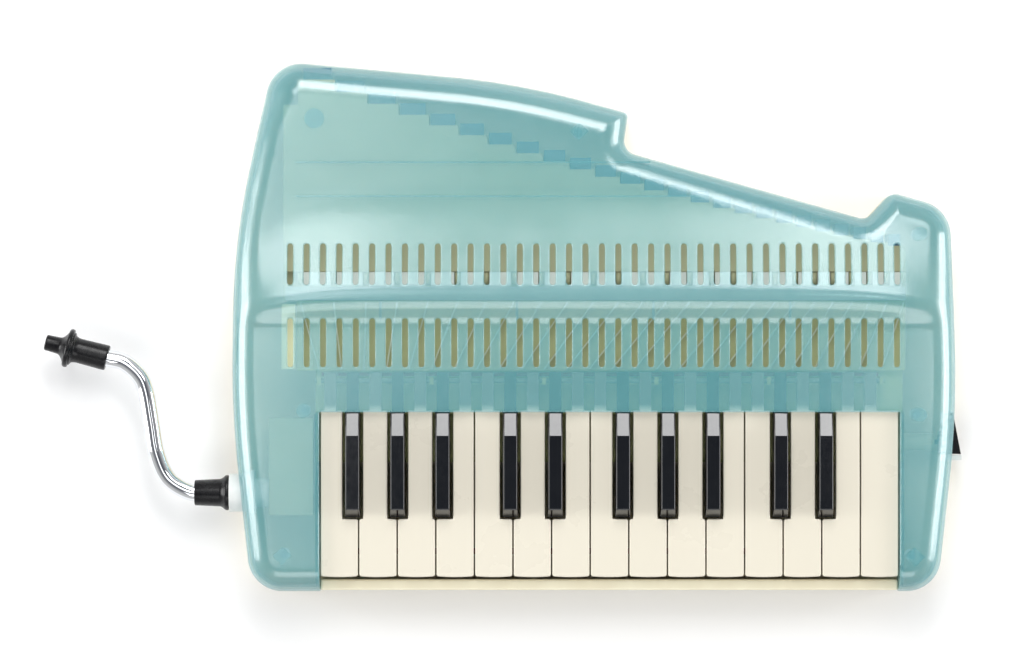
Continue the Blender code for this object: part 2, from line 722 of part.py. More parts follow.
def build_pipes(cream, white):
    outline = staircase_outline()
    windway_front = MOUTH_Y - MOUTH_LENGTH
    low = TRAY_SPLIT_LOW
    lower = plate("pipe_tray_lower", outline, INSIDE_LOW, low, cream)
    cells = plates_mesh("lower_cells", pipe_cells(windway_front), INSIDE_LOW + 0.0015, 0.1)
    cut(lower, place("lower_cells", cells))
    divider = plate("pipe_divider", outline, low + GAP, low + GAP + DIVIDER, cream)
    folds = plates_mesh("folds", pipe_cells(0, 0.0010, 0.0010, 0.0050), 0.0, 0.1)
    cut(divider, place("folds", folds))
    base = low + 2 * GAP + DIVIDER
    upper = plate("pipe_tray_upper", outline, base, TRAY_TOP, cream)
    shelf = TRAY_TOP - 0.0045
    cells = plates_mesh("upper_cells", pipe_cells(windway_front), -0.01, TRAY_TOP - 0.0014)
    cut(upper, place("upper_cells", cells))
    edges = pipe_edges()
    cut(upper, box("lip_shelf", edges[0] - 0.05, edges[-1] + 0.05, BOARD_REAR - 0.01, MOUTH_Y,
                   shelf, 0.1))
    for line in (0.0414, 0.0554):
        y = MOUTH_Y + line
        reach = [edges[i + 1] for i in range(PIPE_COUNT) if pipe_end(i) > y][-1]
        join(upper, box("cover_rib", edges[0] + 0.0005, reach - 0.001, y, y + 0.0008,
                        TRAY_TOP - 0.001, TRAY_TOP + 0.0004))
    strip = box("lip_strip", edges[0] - TRAY_FLANGE + 0.001, edges[-1] + PIPE_WALL,
                BOARD_REAR + GAP, windway_front - 0.0010, shelf + GAP, shelf + 0.0052, white)
    lips = []
    for i in range(PIPE_COUNT):
        lips.append(rectangle(edges[i] + 0.0016, edges[i + 1] - 0.0016,
                              windway_front - 0.0015, MOUTH_Y - GAP))
    tongues = plates_mesh("lips", lips, shelf + 0.0030, shelf + 0.0052)
    join(strip, place("lips", tongues))
    return upper


def build_channel_board(tan, film_finish):
    """A stepped board: valve plate, step that carries the hinge, and windway floor."""
    left, right = KEYS_LEFT - BOARD_MARGIN, KEYS_RIGHT + BOARD_MARGIN
    wide_left, wide_right = pipe_edges()[0] - 2 * FAN_WALL, pipe_edges()[-1] + FAN_WALL
    board = box("channel_board", left, right, CHEST_FRONT, CHEST_REAR + 0.001,
                PLATE_LOW, PLATE_LOW + PLATE, tan)
    join(board, box("step", left, right, CHEST_REAR, STEP_Y + PLATE, STEP_LOW, STEP_LOW + PLATE))
    join(board, box("riser", left, right, STEP_Y, STEP_Y + PLATE, STEP_LOW + 0.0005, WINDWAY_TOP - 0.0002))
    join(board, box("windway_floor", wide_left, wide_right, STEP_Y + 0.0001, BOARD_REAR,
                    WINDWAY_LOW, WINDWAY_TOP))
    edges = pipe_edges()
    walls = []
    for k in range(PIPE_COUNT + 1):
        x0 = tail_x(k - 0.5)
        x1 = edges[k]
        half = FAN_WALL / 2
        walls.append([(x0 - half, FAN_FRONT), (x0 + half, FAN_FRONT),
                      (x1 + half, FAN_REAR), (x1 - half, FAN_REAR)])
    fan = plates_mesh("windway_walls", walls, WINDWAY_TOP - 0.0006, WINDWAY_TOP + WINDWAY_WALL)
    join(board, place("windway_walls", fan))
    posts = []
    for k in range(0, SEMITONES + 1, 5):
        x = tail_x(k - 0.5)
        posts.append(rectangle(x - HINGE_POST / 4, x + HINGE_POST / 4,
                               HINGE_Y - HINGE_POST / 2, HINGE_Y + HINGE_POST / 2))
    carriers = plates_mesh("hinge_posts", posts, STEP_LOW + PLATE - 0.0006, HINGE_Z + 0.0026)
    join(board, place("hinge_posts", carriers))
    cut(board, cylinders("post_bores", [(HINGE_Y, HINGE_Z)], ROD_RADIUS + GAP,
                         left - 0.01, right + 0.01, 12, "X"))
    holes = [(tail_x(n), PEG_Y) for n in range(SEMITONES)]
    cut(board, cylinders("peg_holes", holes, PEG_HOLE, 0.0, PLATE_LOW + 0.0050, 6))
    film_low = WINDWAY_TOP + WINDWAY_WALL + GAP
    box("windway_film", wide_left, wide_right, FAN_FRONT, FAN_REAR,
        film_low, film_low + SHEET, film_finish)
    return board


def build_hinge_rod(steel):
    rod = cylinders("hinge_rod", [(HINGE_Y, HINGE_Z)], ROD_RADIUS, tail_x(-0.5) - 0.0018,
                    tail_x(SEMITONES - 0.5) + 0.0018, 12, "X")
    mesh = rod.data
    bpy.data.objects.remove(rod, do_unlink=True)
    smooth(place("hinge_rod", mesh, steel))


def build_felts(felt):
    heel = HINGE_Y + HEEL
    low = STEP_LOW + PLATE + GAP
    box("heel_felt", tail_x(-0.4), tail_x(SEMITONES - 0.6), HINGE_Y + 0.0023, heel - 0.0002,
        low, KEY_UNDER - GAP, felt)
    box("front_felt", KEYS_LEFT + 0.002, KEYS_RIGHT - 0.002, STOP_Y, STOP_Y + STOP_DEPTH,
        STOP_TOP - FELT, STOP_TOP, felt)


def build_wind_chest(cream, rubber, steel):
    left, right = KEYS_LEFT - 0.0035, KEYS_RIGHT + 0.0030
    chest = box("wind_chest", left, right, CHEST_FRONT, CHEST_REAR, INSIDE_LOW, CHEST_TOP, cream)
    cut(chest, box("chest_hollow", left + CHEST_WALL, right - CHEST_WALL, CHEST_FRONT + CHEST_WALL,
                   CHEST_REAR - CHEST_WALL, INSIDE_LOW + CHEST_WALL, 0.1))
    window = (CHEST_FRONT + 0.0040, CHEST_REAR - 0.0040)
    cut(chest, box("chest_inlet", left - 0.01, left + 0.01, *window, *INLET_HEIGHTS))
    cut(chest, cylinders("chest_drain", [(DUCT_Y, DUCT_Z)], DUCT_BORE, right - 0.01, right + 0.01,
                         12, "X"))
    sheet_low = CHEST_TOP + GAP
    gasket = box("chest_gasket", left, right, CHEST_FRONT + 0.0023, CHEST_REAR, sheet_low,
                 sheet_low + SHEET, rubber)
    cut(gasket, box("gasket_hollow", left + CHEST_WALL, right - CHEST_WALL, CHEST_FRONT,
                    CHEST_REAR - CHEST_WALL, 0.0, 0.1))
    comb = box("valve_comb", left, right, CHEST_FRONT, CHEST_FRONT + 0.0020, sheet_low,
               sheet_low + SHEET, steel)
    tongues = [rectangle(tail_x(n) - 0.0035, tail_x(n) + 0.0035, CHEST_FRONT + 0.0010,
                         CHEST_REAR - 0.0025) for n in range(SEMITONES)]
    join(comb, place("tongues", plates_mesh("tongues", tongues, sheet_low, sheet_low + SHEET)))
    box_right = left - GAP
    inlet_left, inlet_front = LEFT + SOCKET_DEPTH, MOUTH_AXIS_Y - INLET_AHEAD
    inlet = box("inlet_box", inlet_left, box_right, inlet_front, window[1] + CHEST_WALL,
                INSIDE_LOW, INLET_TOP, cream)
    cut(inlet, box("inlet_hollow", inlet_left + CHEST_WALL, box_right - CHEST_WALL,
                   inlet_front + CHEST_WALL, window[1], INSIDE_LOW + CHEST_WALL,
                   INLET_TOP - CHEST_WALL))
    cut(inlet, box("inlet_window", box_right - 0.005, box_right + 0.005, *window, *INLET_HEIGHTS))
    cut(inlet, cylinders("inlet_bore", [(MOUTH_AXIS_Y, MOUTH_HEIGHT)], PIPE_BORE, LEFT,
                         LEFT + 0.0250, 16, "X"))
    return chest


def build_drain(black, white, rubber, steel):
    """A wedge lever in a white housing, whose peg pushes the drain valve in the duct."""
    chest_right = KEYS_RIGHT + 0.0030
    front, rear = LEVER_FRONT, LEVER_FRONT + LEVER_LENGTH
    inner = RIGHT - 0.0077
    duct_end = inner - 0.0020
    duct = cylinders("drain_duct", [(DUCT_Y, DUCT_Z)], DUCT_BORE + DUCT_WALL, chest_right + GAP,
                     duct_end, 16, "X")
    mesh = duct.data
    bpy.data.objects.remove(duct, do_unlink=True)
    duct = place("drain_duct", mesh, rubber)
    cut(duct, cylinders("drain_bore", [(DUCT_Y, DUCT_Z)], DUCT_BORE, 0.0, RIGHT, 12, "X"))
    high = LEVER_LOW + LEVER_HEIGHT
    apex_x = RIGHT - 0.0003
    pivot = (RIGHT - 0.0021, rear - 0.0024)
    outline = [(inner, front + 0.0004), (RIGHT + LEVER_STAND - 0.0003, front), (apex_x, rear),
               (RIGHT - 0.0036, rear), (inner, DUCT_Y + 0.0030)]
    lever_mesh = plates_mesh("drain_lever", [outline], LEVER_LOW, high)
    lever = place("drain_lever", lever_mesh, black)
    for vertex in lever_mesh.vertices:
        vertex.co.x -= pivot[0]
        vertex.co.y -= pivot[1]
    lever.location = (pivot[0], pivot[1], 0)
    join(lever, cylinders("lever_peg", [(DUCT_Y, DUCT_Z)], 0.0012, inner - 0.0070, inner + 0.002,
                          10, "X"))
    cut(lever, cylinders("lever_eye", [pivot], PIN_RADIUS + GAP, 0.0, 0.1, 12))
    pin = cylinders("lever_pin", [pivot], PIN_RADIUS, LEVER_LOW - 0.0018, SPLIT - 2 * GAP, 12)
    mesh = pin.data
    bpy.data.objects.remove(pin, do_unlink=True)
    place("lever_pin", mesh, steel)
    floor_top = LEVER_LOW - GAP
    housing = box("lever_housing", RIGHT - 0.0060, RIGHT - 0.0006, front - 0.0029, rear + 0.0002,
                  LEVER_LOW - 0.0018, floor_top, white)
    join(housing, box("housing_front", RIGHT - 0.0060, RIGHT + LEVER_STAND, front - 0.0030,
                      front - 0.0006, LEVER_LOW - 0.0018, SPLIT - 2 * GAP))
    cut(housing, cylinders("pin_seat", [pivot], PIN_RADIUS + GAP, 0.0, 0.1, 12))


def smooth_route(points, count, lead_in, lead_out):
    """A Catmull-Rom curve through the points that starts along lead_in and ends along lead_out."""
    ends = [points[1] - lead_in] + points + [points[-2] + lead_out]
    route = []
    for step in range(count):
        at = step / (count - 1) * (len(points) - 1)
        i = min(int(at), len(points) - 2)
        t = at - i
        a, b, c, d = ends[i:i + 4]
        route.append(0.5 * (2 * b + (c - a) * t + (2 * a - 5 * b + 4 * c - d) * t * t
                            + (3 * b - a - 3 * c + d) * t ** 3))
    return route


def tube(name, route, radius):
    curve = bpy.data.curves.new(name, "CURVE")
    curve.dimensions = "3D"
    curve.bevel_depth = radius
    curve.bevel_resolution = 2
    curve.use_fill_caps = True
    spline = curve.splines.new("POLY")
    spline.points.add(len(route) - 1)
    for point, at in zip(spline.points, route):
        point.co = (*at, 1)
    guide = bpy.data.objects.new(name, curve)
    cutters.objects.link(guide)
    mesh = bpy.data.meshes.new_from_object(guide.evaluated_get(bpy.context.evaluated_depsgraph_get()))
    bpy.data.objects.remove(guide, do_unlink=True)
    form = bmesh.new()
    form.from_mesh(mesh)
    bmesh.ops.remove_doubles(form, verts=form.verts, dist=1e-6)
    bmesh.ops.recalc_face_normals(form, faces=form.faces)
    form.to_mesh(mesh)
    form.free()
    return mesh


def build_mouthpiece(white, black, chrome):
    """Socket in the casing, and the collar, chrome tube and mouthpiece that turn in it."""
    outside = LEFT - 0.0023
    axis = (0, MOUTH_AXIS_Y, MOUTH_HEIGHT)
    socket_end = LEFT + SOCKET_DEPTH - GAP
    rim, rest = 0.0096, 0.0115
    socket = [(-outside, SOCKET_BORE), (-outside, rim), (-LEFT - 0.0088, rim + 0.0002),
              (-LEFT - 0.0088, rest), (-LEFT - 0.0106, rest), (-LEFT - 0.0106, 2 * PIPE_BORE),
              (-socket_end, 2 * PIPE_BORE), (-socket_end, PIPE_BORE),
              (-socket_end + 0.0015, PIPE_BORE), (-socket_end + 0.0015, SOCKET_BORE)]
    smooth(turned("mouth_socket", socket, axis, white))
    flange = -outside + GAP
    plug = SOCKET_BORE - 0.0004
    seat_bore = TUBE_RADIUS + GAP
    nose = flange + 0.0173
    collar = [(flange - 0.0170, 0.0033), (flange - 0.0170, plug), (flange, plug), (flange, 0.0088),
              (flange + 0.0006, 0.00895), (flange + 0.0022, 0.0089), (flange + 0.0030, 0.0072),
              (flange + 0.0040, 0.0070), (nose - 0.0008, 0.0062), (nose, 0.0058),
              (nose, seat_bore), (nose - SEAT, seat_bore), (nose - SEAT, 0.0033)]
    smooth(turned("mouth_collar", collar, axis, black))
    bend = [(0.0, 0.0), (0.287, 0.095), (0.430, 0.283), (0.493, 0.517), (0.557, 0.752),
            (0.636, 0.871), (0.808, 0.968), (1.0, 1.0)]
    start = Vector((-nose, MOUTH_AXIS_Y, MOUTH_HEIGHT))
    bends = [start + Vector((-x * BEND_REACH, y * BEND_RISE, 0)) for x, y in bend]
    out = Vector((-1, 0, 0))
    into = Vector((-math.cos(TIP_TILT), math.sin(TIP_TILT), 0))
    seat = bends[-1]
    path = smooth_route(bends, 24, out * 0.018, into * 0.016)
    path = [start - out * (SEAT - 0.0006)] + path + [seat + into * (SEAT - 0.0006)]
    tube_part = place("mouth_tube", tube("mouth_tube", path, TUBE_RADIUS), chrome)
    beyond = [path[0] * 2 - path[1]] + path[1:-1] + [path[-1] * 2 - path[-2]]
    cut(tube_part, place("tube_bore", tube("tube_bore", beyond, TUBE_RADIUS - TUBE_WALL)))
    smooth(tube_part)
    shape = [(0.0, 0.606), (0.019, 0.646), (0.495, 0.616), (0.533, 0.667), (0.570, 0.889),
             (0.588, 1.0), (0.656, 1.0), (0.678, 0.889), (0.718, 0.566), (0.759, 0.434),
             (0.985, 0.404), (1.0, 0.364)]
    tip = [(0.0, seat_bore)] + [(along * TIP_LENGTH, wide * TIP_RADIUS) for along, wide in shape]
    tip += [(TIP_LENGTH, TIP_BORE), (SEAT, TIP_BORE), (SEAT, seat_bore)]
    smooth(turned("mouthpiece", tip, seat, black, TIP_TILT))


def main():
    clear_scene()
    mint = material("mint_plastic", (0.38, 0.66, 0.65), 0.25)
    cream = material("cream_plastic", (0.80, 0.74, 0.58), 0.45)
    tan = material("tan_plastic", (0.55, 0.50, 0.30), 0.55)
    ivory = material("ivory_keys", (0.86, 0.82, 0.70), 0.35)
    ebony = material("black_keys", (0.015, 0.017, 0.022), 0.20)
    black = material("black_plastic", (0.012, 0.012, 0.014), 0.30)
    white = material("white_plastic", (0.88, 0.90, 0.90), 0.35)
    film = material("windway_film", (0.75, 0.72, 0.60), 0.20)
    steel = material("spring_steel", (0.62, 0.62, 0.63), 0.30, 1.0)
    chrome = material("chrome_tube", (0.85, 0.86, 0.88), 0.06, 1.0)
    felt = material("red_felt", (0.35, 0.05, 0.05), 0.95)
    rubber = material("soft_rubber", (0.12, 0.12, 0.12), 0.80)
    build_upper_casing(mint)
    build_lower_casing(cream)
    build_keys(ivory, ebony)
    build_pipes(cream, white)
    build_channel_board(tan, film)
    build_hinge_rod(steel)
    build_felts(felt)
    build_wind_chest(cream, rubber, steel)
    build_drain(black, white, rubber, steel)
    build_mouthpiece(white, black, chrome)


main()
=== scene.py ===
"""Keyboard recorder: the fine surfaces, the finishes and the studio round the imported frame.

Everything is in metres. +X runs along the keys to the treble end, +Y to the rear, +Z up.
"""
import math

import bmesh
import bpy
import numpy as np
from mathutils import Matrix, Vector
from mathutils.geometry import delaunay_2d_cdt


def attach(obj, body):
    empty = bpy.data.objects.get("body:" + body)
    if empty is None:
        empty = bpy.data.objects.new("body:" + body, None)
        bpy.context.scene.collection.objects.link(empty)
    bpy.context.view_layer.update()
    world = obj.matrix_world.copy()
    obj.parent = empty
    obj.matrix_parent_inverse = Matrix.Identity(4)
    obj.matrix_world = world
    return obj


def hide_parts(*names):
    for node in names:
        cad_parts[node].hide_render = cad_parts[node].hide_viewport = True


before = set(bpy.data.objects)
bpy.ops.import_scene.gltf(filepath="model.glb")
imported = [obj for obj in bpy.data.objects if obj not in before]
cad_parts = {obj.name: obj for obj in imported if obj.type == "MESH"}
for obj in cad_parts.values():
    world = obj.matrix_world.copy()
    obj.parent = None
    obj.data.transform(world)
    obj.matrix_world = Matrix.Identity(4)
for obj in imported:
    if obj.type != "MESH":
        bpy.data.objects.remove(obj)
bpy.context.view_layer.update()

# Casing, as in the frame
CASE_WIDTH = 0.3644
CASE_DEPTH = 0.2664
LEFT, RIGHT = -CASE_WIDTH / 2, CASE_WIDTH / 2
FRONT, REAR = -CASE_DEPTH / 2, CASE_DEPTH / 2
KEYS_LEFT, KEYS_RIGHT = LEFT + 0.0442, RIGHT - 0.0292
RAIL_Y = FRONT + 0.0060
KEY_FRONT = RAIL_Y + 0.0015
OPEN_Y = KEY_FRONT + 0.0829
COVE_Y = OPEN_Y + 0.0462
CREST_Y = COVE_Y + 0.0101
SLOPE = 0.0482
FOOT_Y = CREST_Y + SLOPE
DECK_TOP, CREST_TOP, HOOD_TOP = 0.0405, 0.0470, 0.0370
SPLIT = 0.0170
EDGE_ROUND = 0.0120
HOOD_ROUND = 0.0160  # the same edge at the rear of the hood
ROUNDER_FROM, ROUNDER_OVER = 0.095, 0.023  # where along Y it grows to that
WALL = FLOOR = 0.0022
CHEEK_WALL = 0.0020  # beside the keys
GAP = 0.0003
LOWER_INSET = 0.0004
CREST_LIFT = 0.0005  # makes up for what the smooth crest loses in height
CREST_BLEND, FOOT_BLEND = 0.0055, 0.0026
END_DROOP = 0.0196  # how much sooner the slope falls at the casing's ends
SKIN_INSET = 0.00012  # keeps the fine outline inside the frame's coarser one
RAIL_TOP = 0.0290

# Slots
SLOT_COUNT = 38
SLOT_RADIUS = 0.0015
SLOT_FIRST = KEYS_LEFT - 0.0148
SLOT_PITCH = 0.00823
SLOT_ROWS = ((COVE_Y + 0.0010 - 0.0246, COVE_Y + 0.0010),
             (CREST_Y + 0.0076, CREST_Y + 0.0076 + 0.0208))
# rings round a slot, each as (distance outside it, how far it is lowered)
SLOT_RIM = ((0.00075, 0.0), (0.00035, 0.0), (0.00015, 0.00007), (0.0, 0.00030))
# each slot as (x, front, rear), and the line between the centres of its round ends
SLOTS = [(SLOT_FIRST + n * SLOT_PITCH, y0, y1)
         for y0, y1 in SLOT_ROWS for n in range(SLOT_COUNT)]
SLOT_SPINES = [((x, y0 + SLOT_RADIUS), (x, y1 - SLOT_RADIUS)) for x, y0, y1 in SLOTS]

# Corners of the casing's outline, front left first, each with its radius
TAPER, BOW = 0.0092, 0.0008
CASE_CORNERS = (
    (LEFT + TAPER, FRONT, 0.0175),
    (RIGHT - TAPER, FRONT, 0.0175),
    (RIGHT + BOW, OPEN_Y, 0.500),
    (RIGHT - 0.0026, FOOT_Y - 0.0021, 0.0180),
    (RIGHT - 0.0322, FOOT_Y + 0.0065, 0.0070),
    (RIGHT - 0.0452, FOOT_Y - 0.0075, 0.0060),
    (LEFT + 0.1967, REAR - 0.0443, 0.0070),
    (LEFT + 0.1995, REAR - 0.0252, 0.0028),
    (LEFT + 0.1454, REAR - 0.0100, 0.400),
    (LEFT + 0.0200, REAR + 0.0016, 0.0180),
    (LEFT + 0.0006, FOOT_Y - 0.0168, 0.357),
    (LEFT - BOW, OPEN_Y, 0.505))

# Screw posts, the three diamond-shaped ones first
BOSSES = (
    (LEFT + 0.1744, REAR - 0.0347),
    (LEFT + 0.0251, FRONT + 0.0181),
    (RIGHT - 0.0211, FRONT + 0.0176),
    (RIGHT - 0.0182, FOOT_Y - 0.0148),
    (RIGHT - 0.0186, OPEN_Y - 0.0013),
    (LEFT + 0.0357, OPEN_Y + 0.0007))
POST_FOOT = 0.0036  # radius of a post's foot, and radius of its top and its sides
DIAMOND_POST, ROUND_POST = (0.0048, 4), (0.0034, 28)
WELL_TOP, WELL_RADIUS = 0.0120, 0.0027
PAD = (LEFT + 0.0412, REAR - 0.0282)  # round pad under the hood
HOOD_RIBS = ((FOOT_Y + 0.0041, -0.150, 0.060), (FOOT_Y + 0.0212, -0.150, 0.028))  # (y, x0, x1)
DECK_RIBS = [KEYS_LEFT + 0.0304 + n * 0.0686 for n in range(4)]

# Keys
KEY_PITCH = 0.0194
KEY_GAP = 0.0007
TAIL_PITCH = KEY_PITCH * 7 / 12
SEMITONES = 25
WHITE_STEPS = (0, 2, 4, 6, 7, 9, 11)
BLACK_LENGTH = 0.0528
BLACK_BASE = 0.0078
BLACK_SIDE_GAP = 0.0013
BLACK_TOP = 0.0068
KEY_TOP = DECK_TOP - 0.0040
KEY_UNDER = KEY_TOP - 0.0085
SHARP_TOP = KEY_TOP + 0.0075
SHARP_FALL = 0.0037  # of the rear of its top
SHARP_BREAK = OPEN_Y - 0.0117  # where that fall begins
SHARP_NOSE = 0.0040
SHARP_RIM, WHITE_RIM = 0.0005, 0.0007
WHITE_CORNER, NOTCH_CORNER, WHITE_BOW = 0.0012, 0.0005, 0.00045
LIP_DEPTH, LIP_THICKNESS = 0.0030, 0.0018  # of a white key's front
HINGE_Y = OPEN_Y + 0.0157
SHOULDER_Y = OPEN_Y + 0.0008  # where a key narrows to its tail
HEEL_Y = HINGE_Y + 0.0044
HALF_TAIL = 0.0030
PEG_Y = HINGE_Y - 0.0290
PEG_LENGTH = 0.0052

# Mouthpiece and lever
MOUTH_Y, MOUTH_Z = OPEN_Y - 0.0410, 0.0180
SOCKET_HOLE = 0.0101
TUBE_RADIUS, TUBE_WALL = 0.0044, 0.0007
LEVER_Y = OPEN_Y - 0.0216

# Pipes
PIPE_COUNT = SEMITONES
PIPE_NARROWING = 0.972
LONGEST_PIPE = 0.1115
PIPE_START = CREST_Y - GAP + 0.0147 - 0.0161
PIPE_LEFT = KEYS_LEFT - 0.0100
PIPE_RIGHT = KEYS_RIGHT + 0.0025

# Windways
FAN_FRONT = HINGE_Y + 0.0058
FAN_REAR = CREST_Y - GAP - 0.0006
FILM_TOP = KEY_UNDER + 0.0063
MOUTH_REAR = CREST_Y - GAP + 0.0147
TRAY_TOP = HOOD_TOP - 0.0044


# ---- finishes

def fill(tree, node, **inputs):
    """Gives each named input its value, or links it where the value is a socket."""
    for key, value in inputs.items():
        socket = node.inputs[int(key[1:]) if key[0] == "_" else key.replace("_", " ")]
        if isinstance(value, bpy.types.NodeSocket):
            tree.links.new(value, socket)
        else:
            socket.default_value = value
    return node


def add_node(tree, kind, settings=(), **inputs):
    node = tree.nodes.new(kind)
    for setting, value in dict(settings).items():
        setattr(node, setting, value)
    return fill(tree, node, **inputs)


def add_noise(tree, size, detail=3.0):
    """Noise on the piece's own coordinates, with features of about this size in metres."""
    place = tree.nodes.get("Place") or tree.nodes.new("ShaderNodeTexCoord")
    place.name = "Place"
    return add_node(tree, "ShaderNodeTexNoise", Vector=place.outputs["Object"], Scale=1.0 / size,
                    Detail=detail, Roughness=0.55).outputs["Fac"]


def add_range(tree, source, low, high, start=0.35, end=0.65):
    return add_node(tree, "ShaderNodeMapRange", Value=source, From_Min=start, From_Max=end,
                    To_Min=low, To_Max=high).outputs["Result"]


def finish(name, colour, other, patch, roughness, grain, relief=0.00001, **sockets):
    """A moulded or metal finish.

    colour and other are mixed in patches of that size, roughness is its (low, high) over
    smudges, grain is the size of the fine relief, and the sockets are the shader's own.
    """
    made = bpy.data.materials.new(name)
    made.use_nodes = True
    tree = made.node_tree
    blend = add_node(tree, "ShaderNodeMix", {"data_type": "RGBA"}, A=(*colour, 1.0),
                     B=(*other, 1.0), Factor=add_range(tree, add_noise(tree, patch), 0.0, 1.0))
    bump = add_node(tree, "ShaderNodeBump", Strength=0.35, Distance=relief,
                    Height=add_noise(tree, grain, 2.0))
    fill(tree, tree.nodes["Principled BSDF"], Base_Color=blend.outputs["Result"],
         Roughness=add_range(tree, add_noise(tree, patch * 0.4, 5.0), *roughness),
         Normal=bump.outputs["Normal"], **sockets)
    return made


def read_place(tree, kind, axis):
    """One axis of the piece's own coordinates ("Object") or of its surface's "Normal"."""
    return add_node(tree, "ShaderNodeSeparateXYZ",
                    Vector=tree.nodes["Place"].outputs[kind]).outputs[axis]


def scale_colour(tree, share):
    shader = tree.nodes["Principled BSDF"]
    scaled = add_node(tree, "ShaderNodeVectorMath", {"operation": "SCALE"}, Scale=share,
                      _0=shader.inputs["Base Color"].links[0].from_socket)
    fill(tree, shader, Base_Color=scaled.outputs["Vector"])


def shade_behind(made, y, share, over=0.003):
    """Paints shade on a finish beyond y, where its piece goes under the casing.

    It does so over that length, and in front of y where the length is negative.
    """
    tree = made.node_tree
    scale_colour(tree, add_range(tree, read_place(tree, "Object", "Y"), 1.0, share, y, y + over))


def cloud_steep_parts(made, flat, steep, steep_shade):
    """Alpha of the translucent moulding: more of it lies in the way where the wall stands up; its
    colour is darkened there as painted shade.
    """
    tree = made.node_tree
    upright = add_node(tree, "ShaderNodeMath", {"operation": "ABSOLUTE"},
                       _0=read_place(tree, "Normal", "Z")).outputs[0]
    fill(tree, tree.nodes["Principled BSDF"],
         Alpha=add_range(tree, upright, steep, flat, 0.45, 0.92))
    # painted shade: the colour is scaled down where the wall stands up
    scale_colour(tree, add_range(tree, upright, steep_shade, 1.0, 0.45, 0.96))


MINT = finish("translucent_mint", (0.20, 0.645, 0.69), (0.215, 0.675, 0.72), 0.060, (0.17, 0.21),
              0.0015, IOR=2.1, Specular_IOR_Level=1.0)
# painted shade on the shell's steep walls, besides their cloudier alpha
cloud_steep_parts(MINT, 0.34, 0.62, 0.66)
# the ribs, posts and pad are the shell's own plastic, painted darker teal: painted shade along them
MINT_RIB_PAINTED_SHADE = finish("mint_ribs_painted_shade", (0.10, 0.42, 0.46), (0.12, 0.46, 0.50), 0.010, (0.30, 0.40),
                  0.0015, Alpha=0.28)
# the rail is the cream moulding painted lighter, to make up for the light the keys keep off it:
# painted light
RAIL = finish("rail_moulding_painted_light", (0.97, 0.91, 0.69), (0.94, 0.87, 0.65), 0.020, (0.34, 0.44), 0.0006)
# the cream of the trays, mouth walls, inlet box and drain duct, painted darker: painted shade
# inside the casing
INNER_PAINTED_SHADE = finish("inner_moulding_painted_shade", (0.52, 0.50, 0.31), (0.48, 0.46, 0.28), 0.020, (0.38, 0.50),
               0.0006, 0.00002)
# dark finish for the hinge rod and the wind chest deep under the casing: painted shade
SHADED = finish("shaded_moulding", (0.20, 0.24, 0.19), (0.24, 0.28, 0.22), 0.010, (0.45, 0.60),
                0.0006, 0.00002)
STOPPER = finish("stopper_rubber", (0.07, 0.17, 0.26), (0.09, 0.20, 0.30), 0.006, (0.55, 0.70),
                 0.0005, 0.00002)
WALL_EDGE = finish("windway_edges", (0.54, 0.60, 0.48), (0.50, 0.56, 0.44), 0.004, (0.25, 0.35),
                   0.0005)
CREAM = finish("cream_moulding", (0.80, 0.73, 0.54), (0.76, 0.69, 0.50), 0.020, (0.38, 0.50),
               0.0006, 0.00002)
IVORY = finish("ivory_keys", (0.835, 0.785, 0.655), (0.831, 0.780, 0.648), 0.080, (0.27, 0.29),
               0.0008, 0.000002, Coat_Weight=0.25, Coat_Roughness=0.12)
# painted shade on the key tails where they run under the casing
shade_behind(IVORY, OPEN_Y + 0.001, 0.24)
EBONY = finish("ebony_keys", (0.004, 0.005, 0.007), (0.006, 0.007, 0.009), 0.008, (0.07, 0.11),
               0.0010, IOR=1.75, Coat_Weight=0.2, Coat_Roughness=0.04)
BLACK = finish("black_moulding", (0.003, 0.003, 0.004), (0.006, 0.006, 0.007), 0.006, (0.22, 0.32),
               0.0004, IOR=1.40)
WHITE = finish("white_moulding", (0.84, 0.85, 0.83), (0.79, 0.81, 0.79), 0.008, (0.28, 0.38),
               0.0005)
LIPS = finish("lip_moulding", (0.84, 0.86, 0.80), (0.78, 0.80, 0.74), 0.008, (0.28, 0.38), 0.0005)
# painted shade on the lip strip where it runs under the crest, in front of the slots
shade_behind(LIPS, CREST_Y + 0.0082, 0.50, -0.0012)
TAN = finish("olive_board", (0.47, 0.49, 0.21), (0.51, 0.53, 0.24), 0.012, (0.40, 0.55),
             0.0005, 0.00002)
LEDGE = finish("pale_ledge", (0.88, 0.85, 0.54), (0.85, 0.82, 0.51), 0.012, (0.40, 0.50), 0.0006)
FILM = finish("clear_film", (0.70, 0.74, 0.52), (0.66, 0.70, 0.48), 0.020, (0.08, 0.20),
              0.0020, Alpha=0.12)
STEEL = finish("spring_steel", (0.56, 0.57, 0.59), (0.48, 0.49, 0.51), 0.004, (0.22, 0.36),
               0.0003, Metallic=1.0)
CHROME = finish("bright_chrome", (0.90, 0.91, 0.93), (0.86, 0.88, 0.90), 0.010, (0.03, 0.07),
                0.0030, 0.000004, Metallic=1.0)
FELT = finish("red_felt", (0.30, 0.04, 0.04), (0.40, 0.07, 0.06), 0.0020, (0.90, 1.0),
              0.0003, 0.00008, Sheen_Weight=0.6)
RUBBER = finish("soft_rubber", (0.035, 0.050, 0.060), (0.050, 0.070, 0.080), 0.004, (0.55, 0.70),
                0.0005, 0.00002)

